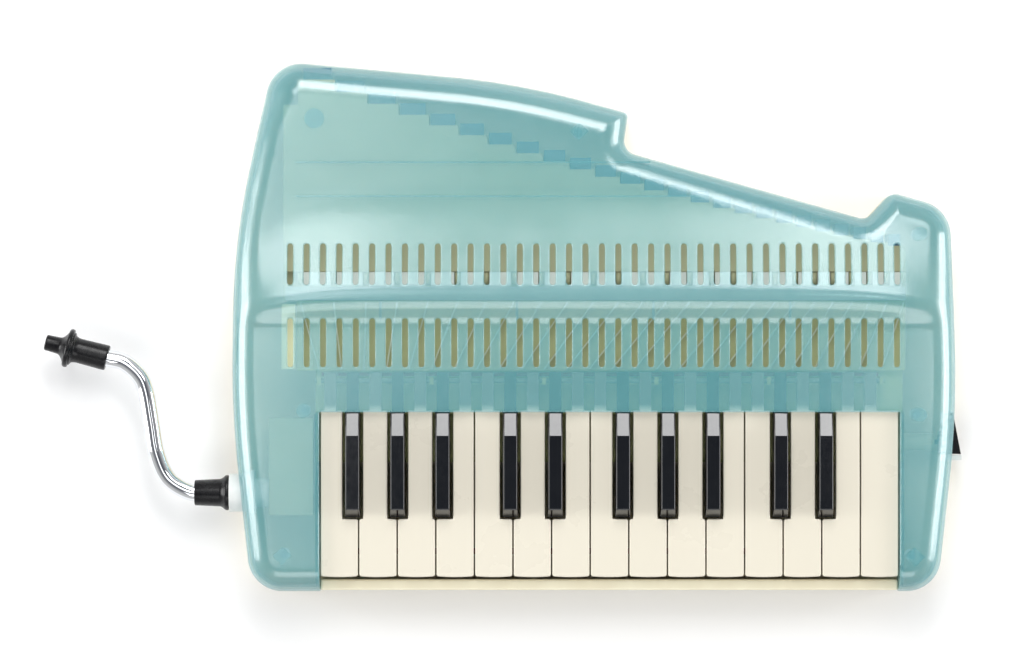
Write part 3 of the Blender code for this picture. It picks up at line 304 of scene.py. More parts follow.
NODE_FINISHES = {
    "pipe_tray_lower": INNER_PAINTED_SHADE, "pipe_divider": INNER_PAINTED_SHADE, "pipe_tray_upper": INNER_PAINTED_SHADE, "lip_strip": LIPS,
    "channel_board": TAN, "windway_film": FILM, "hinge_rod": SHADED, "heel_felt": FELT,
    "front_felt": FELT, "wind_chest": SHADED, "chest_gasket": RUBBER, "valve_comb": STEEL,
    "inlet_box": INNER_PAINTED_SHADE, "drain_duct": INNER_PAINTED_SHADE, "lever_pin": STEEL, "lever_housing": WHITE,
    "drain_lever": BLACK, "mouth_socket": WHITE, "mouth_collar": BLACK, "mouth_tube": CHROME,
    "mouthpiece": BLACK, "upper_casing": MINT, "lower_casing": CREAM,
}


def dress_frame():
    for name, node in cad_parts.items():
        look = NODE_FINISHES.get(name) or (IVORY if name.startswith("white") else EBONY)
        node.data.materials.clear()
        node.data.materials.append(look)


# ---- making pieces

def mesh_of(form, name="part"):
    mesh = bpy.data.meshes.new(name)
    form.to_mesh(mesh)
    form.free()
    return mesh


def put(name, data):
    """A new object in the scene."""
    made = bpy.data.objects.new(name, data)
    bpy.context.scene.collection.objects.link(made)
    return made


def evaluated_mesh(made):
    graph = bpy.context.evaluated_depsgraph_get()
    return bpy.data.meshes.new_from_object(made.evaluated_get(graph))


def add_piece(name, form, look, node=None, body="casing", angle=38, flat=0.00002):
    """A finished piece from a bmesh or a mesh, riding on its body in place of a CAD node.

    Faces larger than flat stay flat, so that only the rounded edges are shaded as curves.
    """
    mesh = mesh_of(form) if isinstance(form, bmesh.types.BMesh) else form
    mesh.name = name
    mesh.materials.clear()
    mesh.materials.append(look)
    mesh.shade_smooth()
    mesh.set_sharp_from_angle(angle=math.radians(angle))
    for polygon in mesh.polygons:
        if polygon.area > flat or len(polygon.vertices) > 12:
            polygon.use_smooth = False
    piece = put(name, mesh)
    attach(piece, body)
    if node:
        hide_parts(node)


def add_rod(form, x, y, low, high, foot, top, sides):
    """Adds an upright rod, whose radii at its foot and its top are given."""
    rod = bmesh.ops.create_cone(form, cap_ends=True, segments=sides, radius1=foot, radius2=top,
                                depth=high - low)["verts"]
    bmesh.ops.translate(form, vec=(x, y, (low + high) / 2), verts=rod)


def rod_form(x, y, low, high, radius, sides=40):
    form = bmesh.new()
    add_rod(form, x, y, low, high, radius, radius, sides)
    return form


def box_form(x0, x1, y0, y1, z0, z1, round_by=0.0, segments=2):
    form = bmesh.new()
    bmesh.ops.create_cube(form, size=1.0)
    bmesh.ops.scale(form, vec=(x1 - x0, y1 - y0, z1 - z0), verts=form.verts)
    bmesh.ops.translate(form, vec=((x0 + x1) / 2, (y0 + y1) / 2, (z0 + z1) / 2), verts=form.verts)
    if round_by:
        bmesh.ops.bevel(form, geom=form.edges[:], offset=round_by, segments=segments,
                        profile=0.5, affect="EDGES")
    return form


def add_form(form, other):
    """Takes the faces of other into form, and frees other."""
    mesh = mesh_of(other)
    form.from_mesh(mesh)
    bpy.data.meshes.remove(mesh)


def sides_of(loop):
    """Each point of a closed loop with the next."""
    return zip(loop, loop[1:] + loop[:1])


def join_rings(form, rings):
    """Faces between each closed ring of vertices and the next."""
    for lower, upper in zip(rings, rings[1:]):
        for i in range(len(lower)):
            j = (i + 1) % len(lower)
            form.faces.new((lower[i], lower[j], upper[j], upper[i]))


def capped_form(rings):
    """A closed form from rings of points, each above the last."""
    form = bmesh.new()
    loops = [[form.verts.new(point) for point in ring] for ring in rings]
    join_rings(form, loops)
    form.faces.new(list(reversed(loops[0])))
    form.faces.new(loops[-1])
    return form


def face_out(form):
    bmesh.ops.recalc_face_normals(form, faces=form.faces)
    return form


def plate_form(outline, low, high):
    return capped_form([[(*point, z) for point in outline] for z in (low, high)])


def curve(first, at, last, steps=4):
    """Points of a corner rounded from first to last, with its tip at the point given."""
    for step in range(steps + 1):
        t = step / steps
        yield tuple(first * (1 - t) ** 2 + at * 2 * t * (1 - t) + last * t * t)


def rounded(corners, share=1.0):
    """The outline through corners (x, y, round_by), none rounded beyond that share of a side."""
    made = []
    for i, (x, y, round_by) in enumerate(corners):
        at = Vector((x, y))
        before = Vector(corners[i - 1][:2]) - at
        after = Vector(corners[(i + 1) % len(corners)][:2]) - at
        reach = min(round_by, before.length * share, after.length * share)
        if reach > 0:
            made += curve(at + before.normalized() * reach, at, at + after.normalized() * reach)
        else:
            made.append((x, y))
    return made


def turned_form(profile, start, tilt=0.0, sides=64):
    """A shape turned about an axis that leaves start along -X, tilted in plan by tilt.

    profile holds (distance along the axis, radius, round_by), as one closed section off it.
    """
    form = bmesh.new()
    ring = [form.verts.new((radius, 0, along)) for along, radius in rounded(profile, 0.45)]
    for side in sides_of(ring):
        form.edges.new(side)
    bmesh.ops.spin(form, geom=form.verts[:] + form.edges[:], cent=(0, 0, 0), axis=(0, 0, 1),
                   angle=math.tau, steps=sides, use_merge=True)
    bmesh.ops.remove_doubles(form, verts=form.verts, dist=1e-7)
    face_out(form)
    along = Vector((-math.cos(tilt), math.sin(tilt), 0))
    turn = Vector((0, 0, 1)).rotation_difference(along).to_matrix()
    bmesh.ops.rotate(form, verts=form.verts, cent=(0, 0, 0), matrix=turn)
    bmesh.ops.translate(form, vec=start, verts=form.verts)
    return form


# ---- casing

def corner_arcs(inset):
    """For each corner, the start of its arc, its centre and its turn, moved inwards by inset."""
    count = len(CASE_CORNERS)
    points = [Vector(corner[:2]) for corner in CASE_CORNERS]
    ways = [(after - before).normalized() for before, after in sides_of(points)]
    turns, moved = [], []
    for i, after in enumerate(ways):
        before = ways[i - 1]
        angle = math.atan2(before.cross(after), before.dot(after))
        turns.append(angle)
        bisector = (after - before).normalized() * math.copysign(1.0, angle)
        moved.append(points[i] + bisector * inset / math.cos(angle / 2))
    arcs = []
    for i, angle in enumerate(turns):
        hollow = angle < 0
        bend = abs(math.tan(angle / 2))
        radius = CASE_CORNERS[i][2] + (inset if hollow else -inset)
        if hollow:
            room = min((moved[i] - moved[i - 1]).length,
                       (moved[(i + 1) % count] - moved[i]).length)
            radius = min(radius, room / 2 / bend)
        radius = max(radius, 0.0002)
        start = moved[i] - ways[i - 1] * radius * bend
        side = Vector((-ways[i - 1].y, ways[i - 1].x)) * (-1.0 if hollow else 1.0)
        arcs.append((start, start + side * radius, angle, radius))
    return arcs


def outline_counts(spacing=0.0025):
    """Steps along each corner's arc and each straight side, the same for every inset."""
    arcs = corner_arcs(0.0)
    counts = []
    for i, (start, centre, angle, radius) in enumerate(arcs):
        end = centre + Matrix.Rotation(angle, 2) @ (start - centre)
        side = (arcs[(i + 1) % len(arcs)][0] - end).length
        counts.append((max(10, math.ceil(abs(angle) * radius / spacing)),
                       max(1, math.ceil(side / spacing))))
    return counts


COUNTS = outline_counts()


def case_outline(inset):
    arcs = corner_arcs(inset)
    outline = []
    for i, (start, centre, angle, _) in enumerate(arcs):
        steps, pieces = COUNTS[i]
        spoke = start - centre
        outline += [centre + Matrix.Rotation(angle * step / steps, 2) @ spoke
                    for step in range(steps + 1)]
        end, following = outline[-1], arcs[(i + 1) % len(arcs)][0]
        outline += [end.lerp(following, step / pieces) for step in range(1, pieces)]
    return outline


def smooth_step(t):
    t = min(max(t, 0.0), 1.0)
    return t * t * (3 - 2 * t)


def rounded_rings(thin, steps=10, levels=12):
    """Rings of (point, fall) over the rounded edge, from the side wall to the flat top.

    thin is how far the skin lies inside the outer one. The edge is rounder along the hood.
    """
    deepest = HOOD_ROUND - thin
    nested = [case_outline(SKIN_INSET + thin + deepest * level / levels)
              for level in range(levels + 1)]
    rounds = [EDGE_ROUND - thin + (HOOD_ROUND - EDGE_ROUND)
              * smooth_step((p.y - ROUNDER_FROM) / ROUNDER_OVER) for p in case_outline(0.0)]
    rings = []
    for step in range(steps + 1):
        angle = math.pi / 2 * step / steps
        ring = []
        for i, size in enumerate(rounds):
            at = size * (1 - math.cos(angle)) / deepest * levels
            level = min(int(at), levels - 1)
            ring.append((nested[level][i].lerp(nested[level + 1][i], at - level),
                         size * (1 - math.sin(angle)) + thin))
        rings.append(ring)
    return rings


def smooth_min(a, b, blend):
    overlap = max(blend - abs(a - b), 0.0) / blend
    return min(a, b) - overlap * overlap * blend / 4


def top_height(x, y):
    """Height of the casing's top: the deck, the cove, the slotted slope and the hood."""
    droop = END_DROOP * (abs(x) / (CASE_WIDTH / 2 - 0.0165)) ** 8
    front_face = DECK_TOP + CREST_LIFT + (y - COVE_Y) * (CREST_TOP - DECK_TOP) / (CREST_Y - COVE_Y)
    fall = (CREST_TOP - HOOD_TOP) / SLOPE
    rear_face = CREST_TOP + CREST_LIFT - (y + droop - CREST_Y) * fall
    ridge = smooth_min(front_face, rear_face, CREST_BLEND)
    share = smooth_step((y - CREST_Y + 0.008) / (SLOPE + 0.016))
    base = DECK_TOP + (HOOD_TOP - DECK_TOP) * share
    return -smooth_min(-base, -ridge, FOOT_BLEND)


def slot_ring(x, y0, y1, radius, arc=8, along=8):
    """A stadium round the slot from y0 to y1, counter-clockwise."""
    low, high = y0 + SLOT_RADIUS, y1 - SLOT_RADIUS
    turns = [math.pi * step / arc for step in range(arc + 1)]
    ring = []
    for end, other, reach in ((high, low, radius), (low, high, -radius)):
        ring += [(x + reach * math.cos(turn), end + reach * math.sin(turn)) for turn in turns]
        ring += [(x - reach, end + (other - end) * t / along) for t in range(1, along)]
    return ring


def distance_to_line(points, ends):
    """Distance from each point to the nearest of the segments."""
    best = np.full(len(points), 1e9)
    for a, b in ends:
        a, b = np.array(a), np.array(b)
        way = b - a
        t = np.clip(((points - a) @ way) / max(way @ way, 1e-18), 0, 1)
        best = np.minimum(best, np.linalg.norm(points - (a + t[:, None] * way), axis=1))
    return best


def inside(points, loop):
    """Which of the points lie inside the closed loop."""
    x, y = points[:, 0], points[:, 1]
    held = np.zeros(len(points), bool)
    for (x0, y0), (x1, y1) in sides_of(loop):
        crosses = (y0 > y) != (y1 > y)
        held ^= crosses & (x < (x1 - x0) * (y - y0) / (y1 - y0 + 1e-30) + x0)
    return held


def top_points(loop):
    """Points between the rounded edge and the slots, closer where the top bends."""
    rows, y = [], FRONT
    while y < REAR:
        rows.append(y)
        bend = COVE_Y - 0.004 < y < CREST_Y + 0.006
        slope = CREST_Y < y < FOOT_Y + 0.008
        y += 0.0007 if bend else 0.0016 if slope else 0.0026
    grid = np.array([(x, y) for y in rows for x in np.arange(LEFT, RIGHT, 0.0026)])
    keys = ((grid[:, 0] > KEYS_LEFT + 0.004) & (grid[:, 0] < KEYS_RIGHT - 0.004)
            & (grid[:, 1] < OPEN_Y - 0.004))
    grid = grid[~keys & inside(grid, loop)]
    grid = grid[distance_to_line(grid, sides_of(loop)) > 0.0010]
    return grid[distance_to_line(grid, SLOT_SPINES) > SLOT_RADIUS + 0.0009]


def casing_form():
    """The upper casing as one wall: outer skin, inner skin and the rims that join them."""
    form = bmesh.new()
    drop = form.verts.layers.float.new("drop")
    foot = form.verts.layers.float.new("foot")
    inward = form.verts.layers.float_vector.new("inward")
    outer, inner = rounded_rings(0.0), rounded_rings(WALL)
    last = [tuple(point) for point, _ in outer[-1]]

    def new_ring(places, stands=0.0):
        """Vertices from (point, how far below the top, step to the inner skin)."""
        ring = []
        for point, fall, step in places:
            vertex = form.verts.new((*point, 0))
            vertex[drop], vertex[foot], vertex[inward] = fall, stands, step
            ring.append(vertex)
        return ring

    # the flat part inside the last ring, with a hole for every slot
    coords, loops = [], []
    for ring in [last] + [slot_ring(*slot, SLOT_RADIUS + SLOT_RIM[0][0]) for slot in SLOTS]:
        loops.append(list(range(len(coords), len(coords) + len(ring))))
        coords += ring
    edges = [side for loop in loops for side in sides_of(loop)]
    coords += [tuple(point) for point in top_points(last)]
    flat, _, faces, origin, _, _ = delaunay_2d_cdt([Vector(c) for c in coords], edges, [], 1,
                                                   1e-7, True)
    where = {source: i for i, sources in enumerate(origin) for source in sources}
    made = [form.verts.new((p.x, p.y, 0)) for p in flat]
    for vertex in made:
        vertex[inward] = (0, 0, -WALL)
    centres = np.array([sum((flat[i] for i in face), Vector((0, 0))) / len(face) for face in faces])
    solid = inside(centres, last) & (
        distance_to_line(centres, SLOT_SPINES) > SLOT_RADIUS + SLOT_RIM[0][0] * 0.999)
    for face, kept in zip(faces, solid):
        if kept:
            a, b, c = (flat[i] for i in face[:3])
            order = face if (b - a).cross(c - a) > 0 else face[::-1]
            form.faces.new([made[i] for i in order])

    # slot rims
    for (x, y0, y1), hole in zip(SLOTS, loops[1:]):
        outside = [made[where[i]] for i in hole]
        for out, lowered in SLOT_RIM[1:]:
            ring = new_ring((point, lowered, (0, 0, lowered - WALL))
                            for point in slot_ring(x, y0, y1, SLOT_RADIUS + out))
            join_rings(form, [ring, outside])
            outside = ring

    # rounded edge and side wall
    above = [made[where[i]] for i in loops[0]]
    for outer_ring, inner_ring in list(zip(outer, inner))[-2::-1]:
        ring = new_ring((point, fall, (*(within - point), fall - inner_fall))
                        for (point, fall), (within, inner_fall) in zip(outer_ring, inner_ring))
        join_rings(form, [ring, above])
        above = ring
    ring = new_ring(((point, 0.0, (*(within - point), 0))
                     for (point, _), (within, _) in zip(outer[0], inner[0])), 1.0)
    join_rings(form, [ring, above])

    open_for_keys(form, drop, foot, inward)
    return form


def open_for_keys(form, drop, foot, inward):
    """Cuts the key opening with a small round edge, raises the skins and closes the wall."""
    left, right = KEYS_LEFT - GAP, KEYS_RIGHT + GAP
    edge_round = 0.0008
    for share in (1.0, 0.6, 0.3, 0.1, 0.0):
        reach = edge_round * share
        for edge in (left - reach, right + reach):
            slice_where(form, lambda x, y: y < OPEN_Y + 0.004 and abs(x - edge) < 0.030,
                        (edge, 0, 0), (1, 0, 0))
        slice_where(form, lambda x, y: left - 0.003 < x < right + 0.003
                    and abs(y - OPEN_Y) < 0.020, (0, OPEN_Y + reach, 0), (0, 1, 0))
    gone = faces_where(form, lambda x, y: left < x < right and y < OPEN_Y)
    bmesh.ops.delete(form, geom=gone, context="FACES")
    for vertex in form.verts:
        x, y = vertex.co.x, vertex.co.y
        aside, behind = max(left - x, x - right, 0.0), max(y - OPEN_Y, 0.0)
        away = math.hypot(aside, behind)
        if away < edge_round and vertex[foot] < 0.5:
            sink = edge_round - math.sqrt(max(edge_round ** 2 - (edge_round - away) ** 2, 0.0))
            vertex[drop] += sink
            if sink:
                vertex[inward] = vertex[inward] + Vector((0, 0, min(sink, WALL * 0.6)))
        vertex.co.z = SPLIT if vertex[foot] > 0.5 else top_height(x, y) - vertex[drop]

    # the walls beside the keys
    beside = [e for e in form.edges if e.is_boundary
              and all(min(abs(v.co.x - left), abs(v.co.x - right)) < 1e-6 and v.co.y < OPEN_Y + 1e-6
                      and v[foot] < 0.5 for v in e.verts)]
    grown = bmesh.ops.extrude_edge_only(form, edges=beside)["geom"]
    below = [v for v in grown if isinstance(v, bmesh.types.BMVert)]
    for vertex in below:
        vertex.co.z = SPLIT
    for vertex in {v for e in beside for v in e.verts} | set(below):
        away = math.copysign(CHEEK_WALL, vertex.co.x)
        vertex[inward] = (away, vertex[inward].y, vertex[inward].z if vertex.co.z > SPLIT else 0.0)
    feet = [v for v in form.verts if abs(v.co.z - SPLIT) < 1e-7]
    bmesh.ops.remove_doubles(form, verts=feet, dist=1e-6)
    close_wall(form, inward)


def faces_where(form, holds):
    """Faces whose middle (x, y) passes the test."""
    return [face for face in form.faces if holds(*face.calc_center_median().xy)]


def slice_where(form, holds, point, normal):
    faces = faces_where(form, holds)
    geometry = dict.fromkeys(faces)
    for face in faces:
        geometry.update(dict.fromkeys([*face.verts, *face.edges]))
    bmesh.ops.bisect_plane(form, geom=list(geometry), plane_co=point, plane_no=normal, dist=1e-7)


def close_wall(form, inward):
    """Adds the inner skin at each point's inward step, and joins the two along every edge."""
    skin = list(form.faces)
    rim = [e for e in form.edges if e.is_boundary]
    within = {v: form.verts.new(v.co + v[inward]) for v in list(form.verts)}
    for face in skin:
        form.faces.new([within[v] for v in reversed(face.verts)])
    for edge in rim:
        a, b = edge.verts
        form.faces.new((a, b, within[b], within[a]))
    face_out(form)


def underside(x, y):
    return top_height(x, y) - WALL - 0.0001


def rib_form(x0, x1, y, width, depth, steps=40):
    """A rib that hangs under the shell and follows it along X."""
    sections = []
    for step in range(steps + 1):
        x = x0 + (x1 - x0) * step / steps
        top, half = underside(x, y), width / 2
        sections.append([(x, y + side, top - down) for side, down in
                         ((-half, 0), (half, 0), (half, depth), (-half, depth))])
    return face_out(capped_form(sections))


def build_upper_casing():
    """The shell, and what is moulded on its inside: screw posts, a pad and the ribs."""
    add_piece("upper_shell", casing_form(), MINT, "upper_casing", angle=42,
              flat=1.0)
    form = bmesh.new()
    for i, (x, y) in enumerate(BOSSES):
        top, sides = DIAMOND_POST if i < 3 else ROUND_POST
        add_rod(form, x, y, SPLIT, underside(x, y), POST_FOOT, top, sides)
    add_form(form, rod_form(*PAD, underside(*PAD) - 0.0012, underside(*PAD), 0.0050))
    for x in DECK_RIBS:
        add_form(form, box_form(x - 0.0006, x + 0.0006, COVE_Y + 0.0002, CREST_Y - 0.0005,
                                DECK_TOP - 0.0030, DECK_TOP - 0.0015))
    for y, x0, x1 in HOOD_RIBS:
        add_form(form, rib_form(x0, x1, y, 0.0008, 0.0010))
    add_piece("shell_posts", form, MINT_RIB_PAINTED_SHADE)


def tray_cutters():
    """Screw wells, the hole for the mouth socket and the opening for the drain lever."""
    cutters = [rod_form(x, y, -0.01, WELL_TOP, WELL_RADIUS) for x, y in BOSSES]
    hole = rod_form(0, 0, -0.020, 0.0110, SOCKET_HOLE, 64)
    bmesh.ops.rotate(hole, verts=hole.verts, cent=(0, 0, 0),
                     matrix=Matrix.Rotation(math.pi / 2, 3, "Y"))
    bmesh.ops.translate(hole, vec=(LEFT, MOUTH_Y, MOUTH_Z), verts=hole.verts)
    return cutters + [hole, box_form(RIGHT - 0.0060, RIGHT + 0.010, LEVER_Y - 0.0036,
                                     LEVER_Y + 0.0217, 0.0050, 0.1)]


def cut_form(form, cutters):
    """The form with each cutter taken out of it, as a mesh."""
    body = put("body", mesh_of(form))
    tools = [put("cutter", mesh_of(cutter)) for cutter in cutters]
    for tool in tools:
        change = body.modifiers.new("cut", "BOOLEAN")
        change.operation, change.solver, change.object = "DIFFERENCE", "EXACT", tool
    mesh = evaluated_mesh(body)
    for made in [body] + tools:
        bpy.data.objects.remove(made, do_unlink=True)
    return mesh


def build_lower_casing():
    """The cream tray, with its rounded floor edge and side wall, and the front rail."""
    turn = 0.0020
    arc = [math.pi / 2 * step / 5 for step in range(6)]
    levels = [(LOWER_INSET + turn * (1 - math.sin(a)), turn * (1 - math.cos(a))) for a in arc]
    levels += [(LOWER_INSET, SPLIT - GAP - 0.0003), (LOWER_INSET + 0.0003, SPLIT - GAP)]
    levels += [(LOWER_INSET + WALL, SPLIT - GAP), (LOWER_INSET + WALL, FLOOR)]
    form = capped_form([[(*point, z) for point in case_outline(inset)] for inset, z in levels])
    add_piece("lower_tray", cut_form(face_out(form), tray_cutters()), CREAM,
              "lower_casing", flat=0.0002)
    rail = box_form(KEYS_LEFT, KEYS_RIGHT, FRONT + LOWER_INSET + 0.0002, RAIL_Y,
                    FLOOR + 0.0001, RAIL_TOP, 0.0010, 3)
    add_piece("front_rail", rail, RAIL)


# ---- keys

def is_black(n):
    return 0 <= n < SEMITONES and n % 12 not in WHITE_STEPS


def tail_x(n):
    return KEYS_LEFT + 0.0051 + n * TAIL_PITCH


def set_in(outline, inset):
    """The outline moved inwards by inset, corner by corner."""
    made = []
    for i, point in enumerate(outline):
        at = Vector(point)
        before = (at - Vector(outline[i - 1])).normalized()
        after = (Vector(outline[(i + 1) % len(outline)]) - at).normalized()
        normal = Vector((-before.y - after.y, before.x + after.x)).normalized()
        reach = inset / max(0.5, normal.dot(Vector((-after.y, after.x))))
        made.append(tuple(at + normal * reach))
    return made


def rimmed_form(outline, low, high, rim, steps=5):
    """A plate whose top edge is rounded over: rings that rise as they move in, then a flat top."""
    rings = [[(*point, low) for point in outline]]
    for step in range(steps + 1):
        turn = math.pi / 2 * step / steps
        height = high - rim * (1 - math.sin(turn))
        rings.append([(*point, height) for point in set_in(outline, rim * (1 - math.cos(turn)))])
    return capped_form(rings)


def finish_key(form, n, index, colour, stuff, look):
    """Adds the peg that pushes the valve, and makes the key a piece."""
    add_rod(form, tail_x(n), PEG_Y, KEY_UNDER - PEG_LENGTH, KEY_UNDER, 0.0013, 0.0015, 20)
    node = "%s_key_%02d" % (colour, index + 1)
    add_piece("%s_%02d" % (stuff, index + 1), form, look, node, node)


def tail_outline(n, left, right):
    """The outline of a key's tail, from the right to the left end of its visible part."""
    x = tail_x(n)
    return [(right, SHOULDER_Y), (x + HALF_TAIL, SHOULDER_Y), (x + HALF_TAIL, HEEL_Y),
            (x - HALF_TAIL, HEEL_Y), (x - HALF_TAIL, SHOULDER_Y), (left, SHOULDER_Y)]


def build_white_key(n, index):
    left = KEYS_LEFT + index * KEY_PITCH + KEY_GAP / 2
    right = left + KEY_PITCH - KEY_GAP
    reach = BLACK_BASE / 2 + BLACK_SIDE_GAP
    body_left = max(left, tail_x(n - 1) + reach) if is_black(n - 1) else left
    body_right = min(right, tail_x(n + 1) - reach) if is_black(n + 1) else right
    notch = OPEN_Y - BLACK_LENGTH - 0.0009
    front = [(x, KEY_FRONT + WHITE_BOW, WHITE_CORNER) for x in (left, right)]
    bowed = [(left + (right - left) * t / 8, KEY_FRONT + WHITE_BOW * (2 * t / 8 - 1) ** 2, 0.0)
             for t in range(1, 8)]
    points = front[:1] + bowed + front[1:]
    if body_right < right:
        points += [(right, notch, WHITE_CORNER), (body_right, notch, NOTCH_CORNER)]
    points += [(*point, 0.0) for point in tail_outline(n, body_left, body_right)]
    if body_left > left:
        points += [(body_left, notch, NOTCH_CORNER), (left, notch, WHITE_CORNER)]
    form = rimmed_form(rounded(points), KEY_UNDER, KEY_TOP, WHITE_RIM)
    lip = rounded(front + [(x, KEY_FRONT + LIP_THICKNESS, 0) for x in (right, left)])
    add_form(form, plate_form(lip, KEY_UNDER - LIP_DEPTH, KEY_UNDER + 0.0002))
    finish_key(form, n, index, "white", "ivory", IVORY)


def build_black_key(n, index):
    """The sharp: sloping sides, a sloping nose and a top that falls away at the rear."""
    x, front, rear = tail_x(n), OPEN_Y - BLACK_LENGTH, OPEN_Y - 0.0002
    half_base, half_top = BLACK_BASE / 2, BLACK_TOP / 2
    form = bmesh.new()
    low = KEY_TOP - 0.0012
    rows = ((front, half_base, low), (rear, half_base, low),
            (front + SHARP_NOSE, half_top, SHARP_TOP), (SHARP_BREAK, half_top, SHARP_TOP),
            (rear, half_top, SHARP_TOP - SHARP_FALL))
    points = [form.verts.new((x + side, y, z)) for y, half, z in rows for side in (-half, half)]
    for corners in ((2, 3, 1, 0), (0, 1, 5, 4), (4, 5, 7, 6), (6, 7, 9, 8), (3, 2, 8, 9),
                    (1, 3, 9, 7, 5), (2, 0, 4, 6, 8)):
        form.faces.new([points[i] for i in corners])
    face_out(form)
    rim = [e for e in form.edges if max(v.co.z for v in e.verts) > low + 0.001
           and not all(abs(v.co.y - SHARP_BREAK) < 1e-7 for v in e.verts)]
    bmesh.ops.bevel(form, geom=rim, offset=SHARP_RIM, segments=4, profile=0.5, affect="EDGES")
    left, right = x - half_base, x + half_base
    outline = [(left, front), (right, front)] + tail_outline(n, left, right)
    add_form(form, plate_form(outline, KEY_UNDER, KEY_TOP - 0.0010))
    finish_key(form, n, index, "black", "ebony", EBONY)


def build_keys():
    for n in range(SEMITONES):
        build = build_black_key if is_black(n) else build_white_key
        build(n, sum(is_black(other) == is_black(n) for other in range(n)))


# ---- mouthpiece

def smooth_route(points, count, lead_in, lead_out):
    """A Catmull-Rom curve through the points that starts along lead_in and ends along lead_out."""
    ends = [points[1] - lead_in] + points + [points[-2] + lead_out]
    route = []
    for step in range(count):
        at = step / (count - 1) * (len(points) - 1)
        i = min(int(at), len(points) - 2)
        t = at - i
        a, b, c, d = ends[i:i + 4]
        route.append(0.5 * (2 * b + (c - a) * t + (2 * a - 5 * b + 4 * c - d) * t * t
                            + (3 * b - a - 3 * c + d) * t ** 3))
    return route


def swept_tube(route, radius, bore, sides=48):
    """A hollow tube along a route that lies flat, with open ends."""
    form = bmesh.new()
    rings = []
    for i, at in enumerate(route):
        way = (route[min(i + 1, len(route) - 1)] - route[max(i - 1, 0)]).normalized()
        across = Vector((-way.y, way.x, 0))
        for size in (radius, bore):
            rings.append([form.verts.new(at + across * size * math.cos(math.tau * s / sides)
                                         + Vector((0, 0, size * math.sin(math.tau * s / sides))))
                          for s in range(sides)])
    outer, inner = rings[0::2], rings[1::2]
    for joined in (outer, inner, [outer[0], inner[0]], [outer[-1], inner[-1]]):
        join_rings(form, joined)
    return face_out(form)


def build_mouthpiece():
    outside = LEFT - 0.0023
    axis = Vector((0, MOUTH_Y, MOUTH_Z))
    socket_end = LEFT + 0.0182 - GAP
    bore, channel = 0.0053, 0.0036
    socket = [(-outside, bore, 0.0003), (-outside, 0.0096, 0.0006), (-LEFT - 0.0088, 0.0098, 0),
              (-LEFT - 0.0088, 0.0115, 0), (-LEFT - 0.0106, 0.0115, 0), (-LEFT - 0.0106, 0.0072, 0),
              (-socket_end, 0.0072, 0), (-socket_end, channel, 0),
              (-socket_end + 0.0015, channel, 0), (-socket_end + 0.0015, bore, 0)]
    add_piece("blow_socket", turned_form(socket, axis), WHITE, "mouth_socket")
    flange = -outside + GAP
    fit = TUBE_RADIUS + GAP
    collar = [(flange + along, radius, round_by) for along, radius, round_by in (
        (-0.0170, 0.0033, 0), (-0.0170, bore - 0.0004, 0.0004), (0.0, bore - 0.0004, 0),
        (0.0, 0.0089, 0.0005), (0.0016, 0.0089, 0.0008), (0.0026, 0.0079, 0.0007),
        (0.0040, 0.0070, 0.0012), (0.0173, 0.0064, 0.0006), (0.0173, fit, 0.0003),
        (0.0073, fit, 0), (0.0073, 0.0033, 0))]
    add_piece("collar", turned_form(collar, axis), BLACK, "mouth_collar",
              "mouth_pipe")
    bend = [(0.0, 0.0), (0.0127, 0.0065), (0.0190, 0.0193), (0.0218, 0.0352), (0.0246, 0.0512),
            (0.0281, 0.0593), (0.0357, 0.0659), (0.0442, 0.0681)]
    start = Vector((outside - GAP - 0.0173, MOUTH_Y, MOUTH_Z))
    bends = [start + Vector((-x, y, 0)) for x, y in bend]
    tilt = math.radians(14.5)
    into = Vector((-math.cos(tilt), math.sin(tilt), 0))
    out = Vector((-1, 0, 0))
    seat = bends[-1]
    path = [start - out * 0.0094, start - out * 0.004]      # its ends, inside the collars
    path += smooth_route(bends, 110, out * 0.018, into * 0.016)
    path += [seat + into * 0.004, seat + into * 0.0094]
    add_piece("blow_pipe", swept_tube(path, TUBE_RADIUS, TUBE_RADIUS - TUBE_WALL), CHROME,
              "mouth_tube", "mouth_pipe")
    tip = [(0.0, fit, 0.0002), (0.0, 0.0062, 0.0005), (0.0008, 0.00645, 0.0003),
           (0.0155, 0.0062, 0.0010), (0.0176, 0.0068, 0.0008), (0.0182, 0.0083, 0.0006),
           (0.0188, 0.0083, 0.0002), (0.0190, 0.0096, 0.0005), (0.0204, 0.0100, 0.0006),
           (0.0214, 0.0094, 0.0005), (0.0217, 0.0079, 0.0004), (0.0230, 0.0058, 0.0010),
           (0.0245, 0.0043, 0.0010), (0.0300, 0.0040, 0.0004), (0.0318, 0.0040, 0.0003),
           (0.0323, 0.0035, 0.0002), (0.0323, 0.0021, 0.0002), (0.0100, 0.0021, 0),
           (0.0100, fit, 0)]
    add_piece("lip_piece", turned_form(tip, seat, tilt), BLACK, "mouthpiece",
              "mouth_pipe")


# ---- repeats by rule

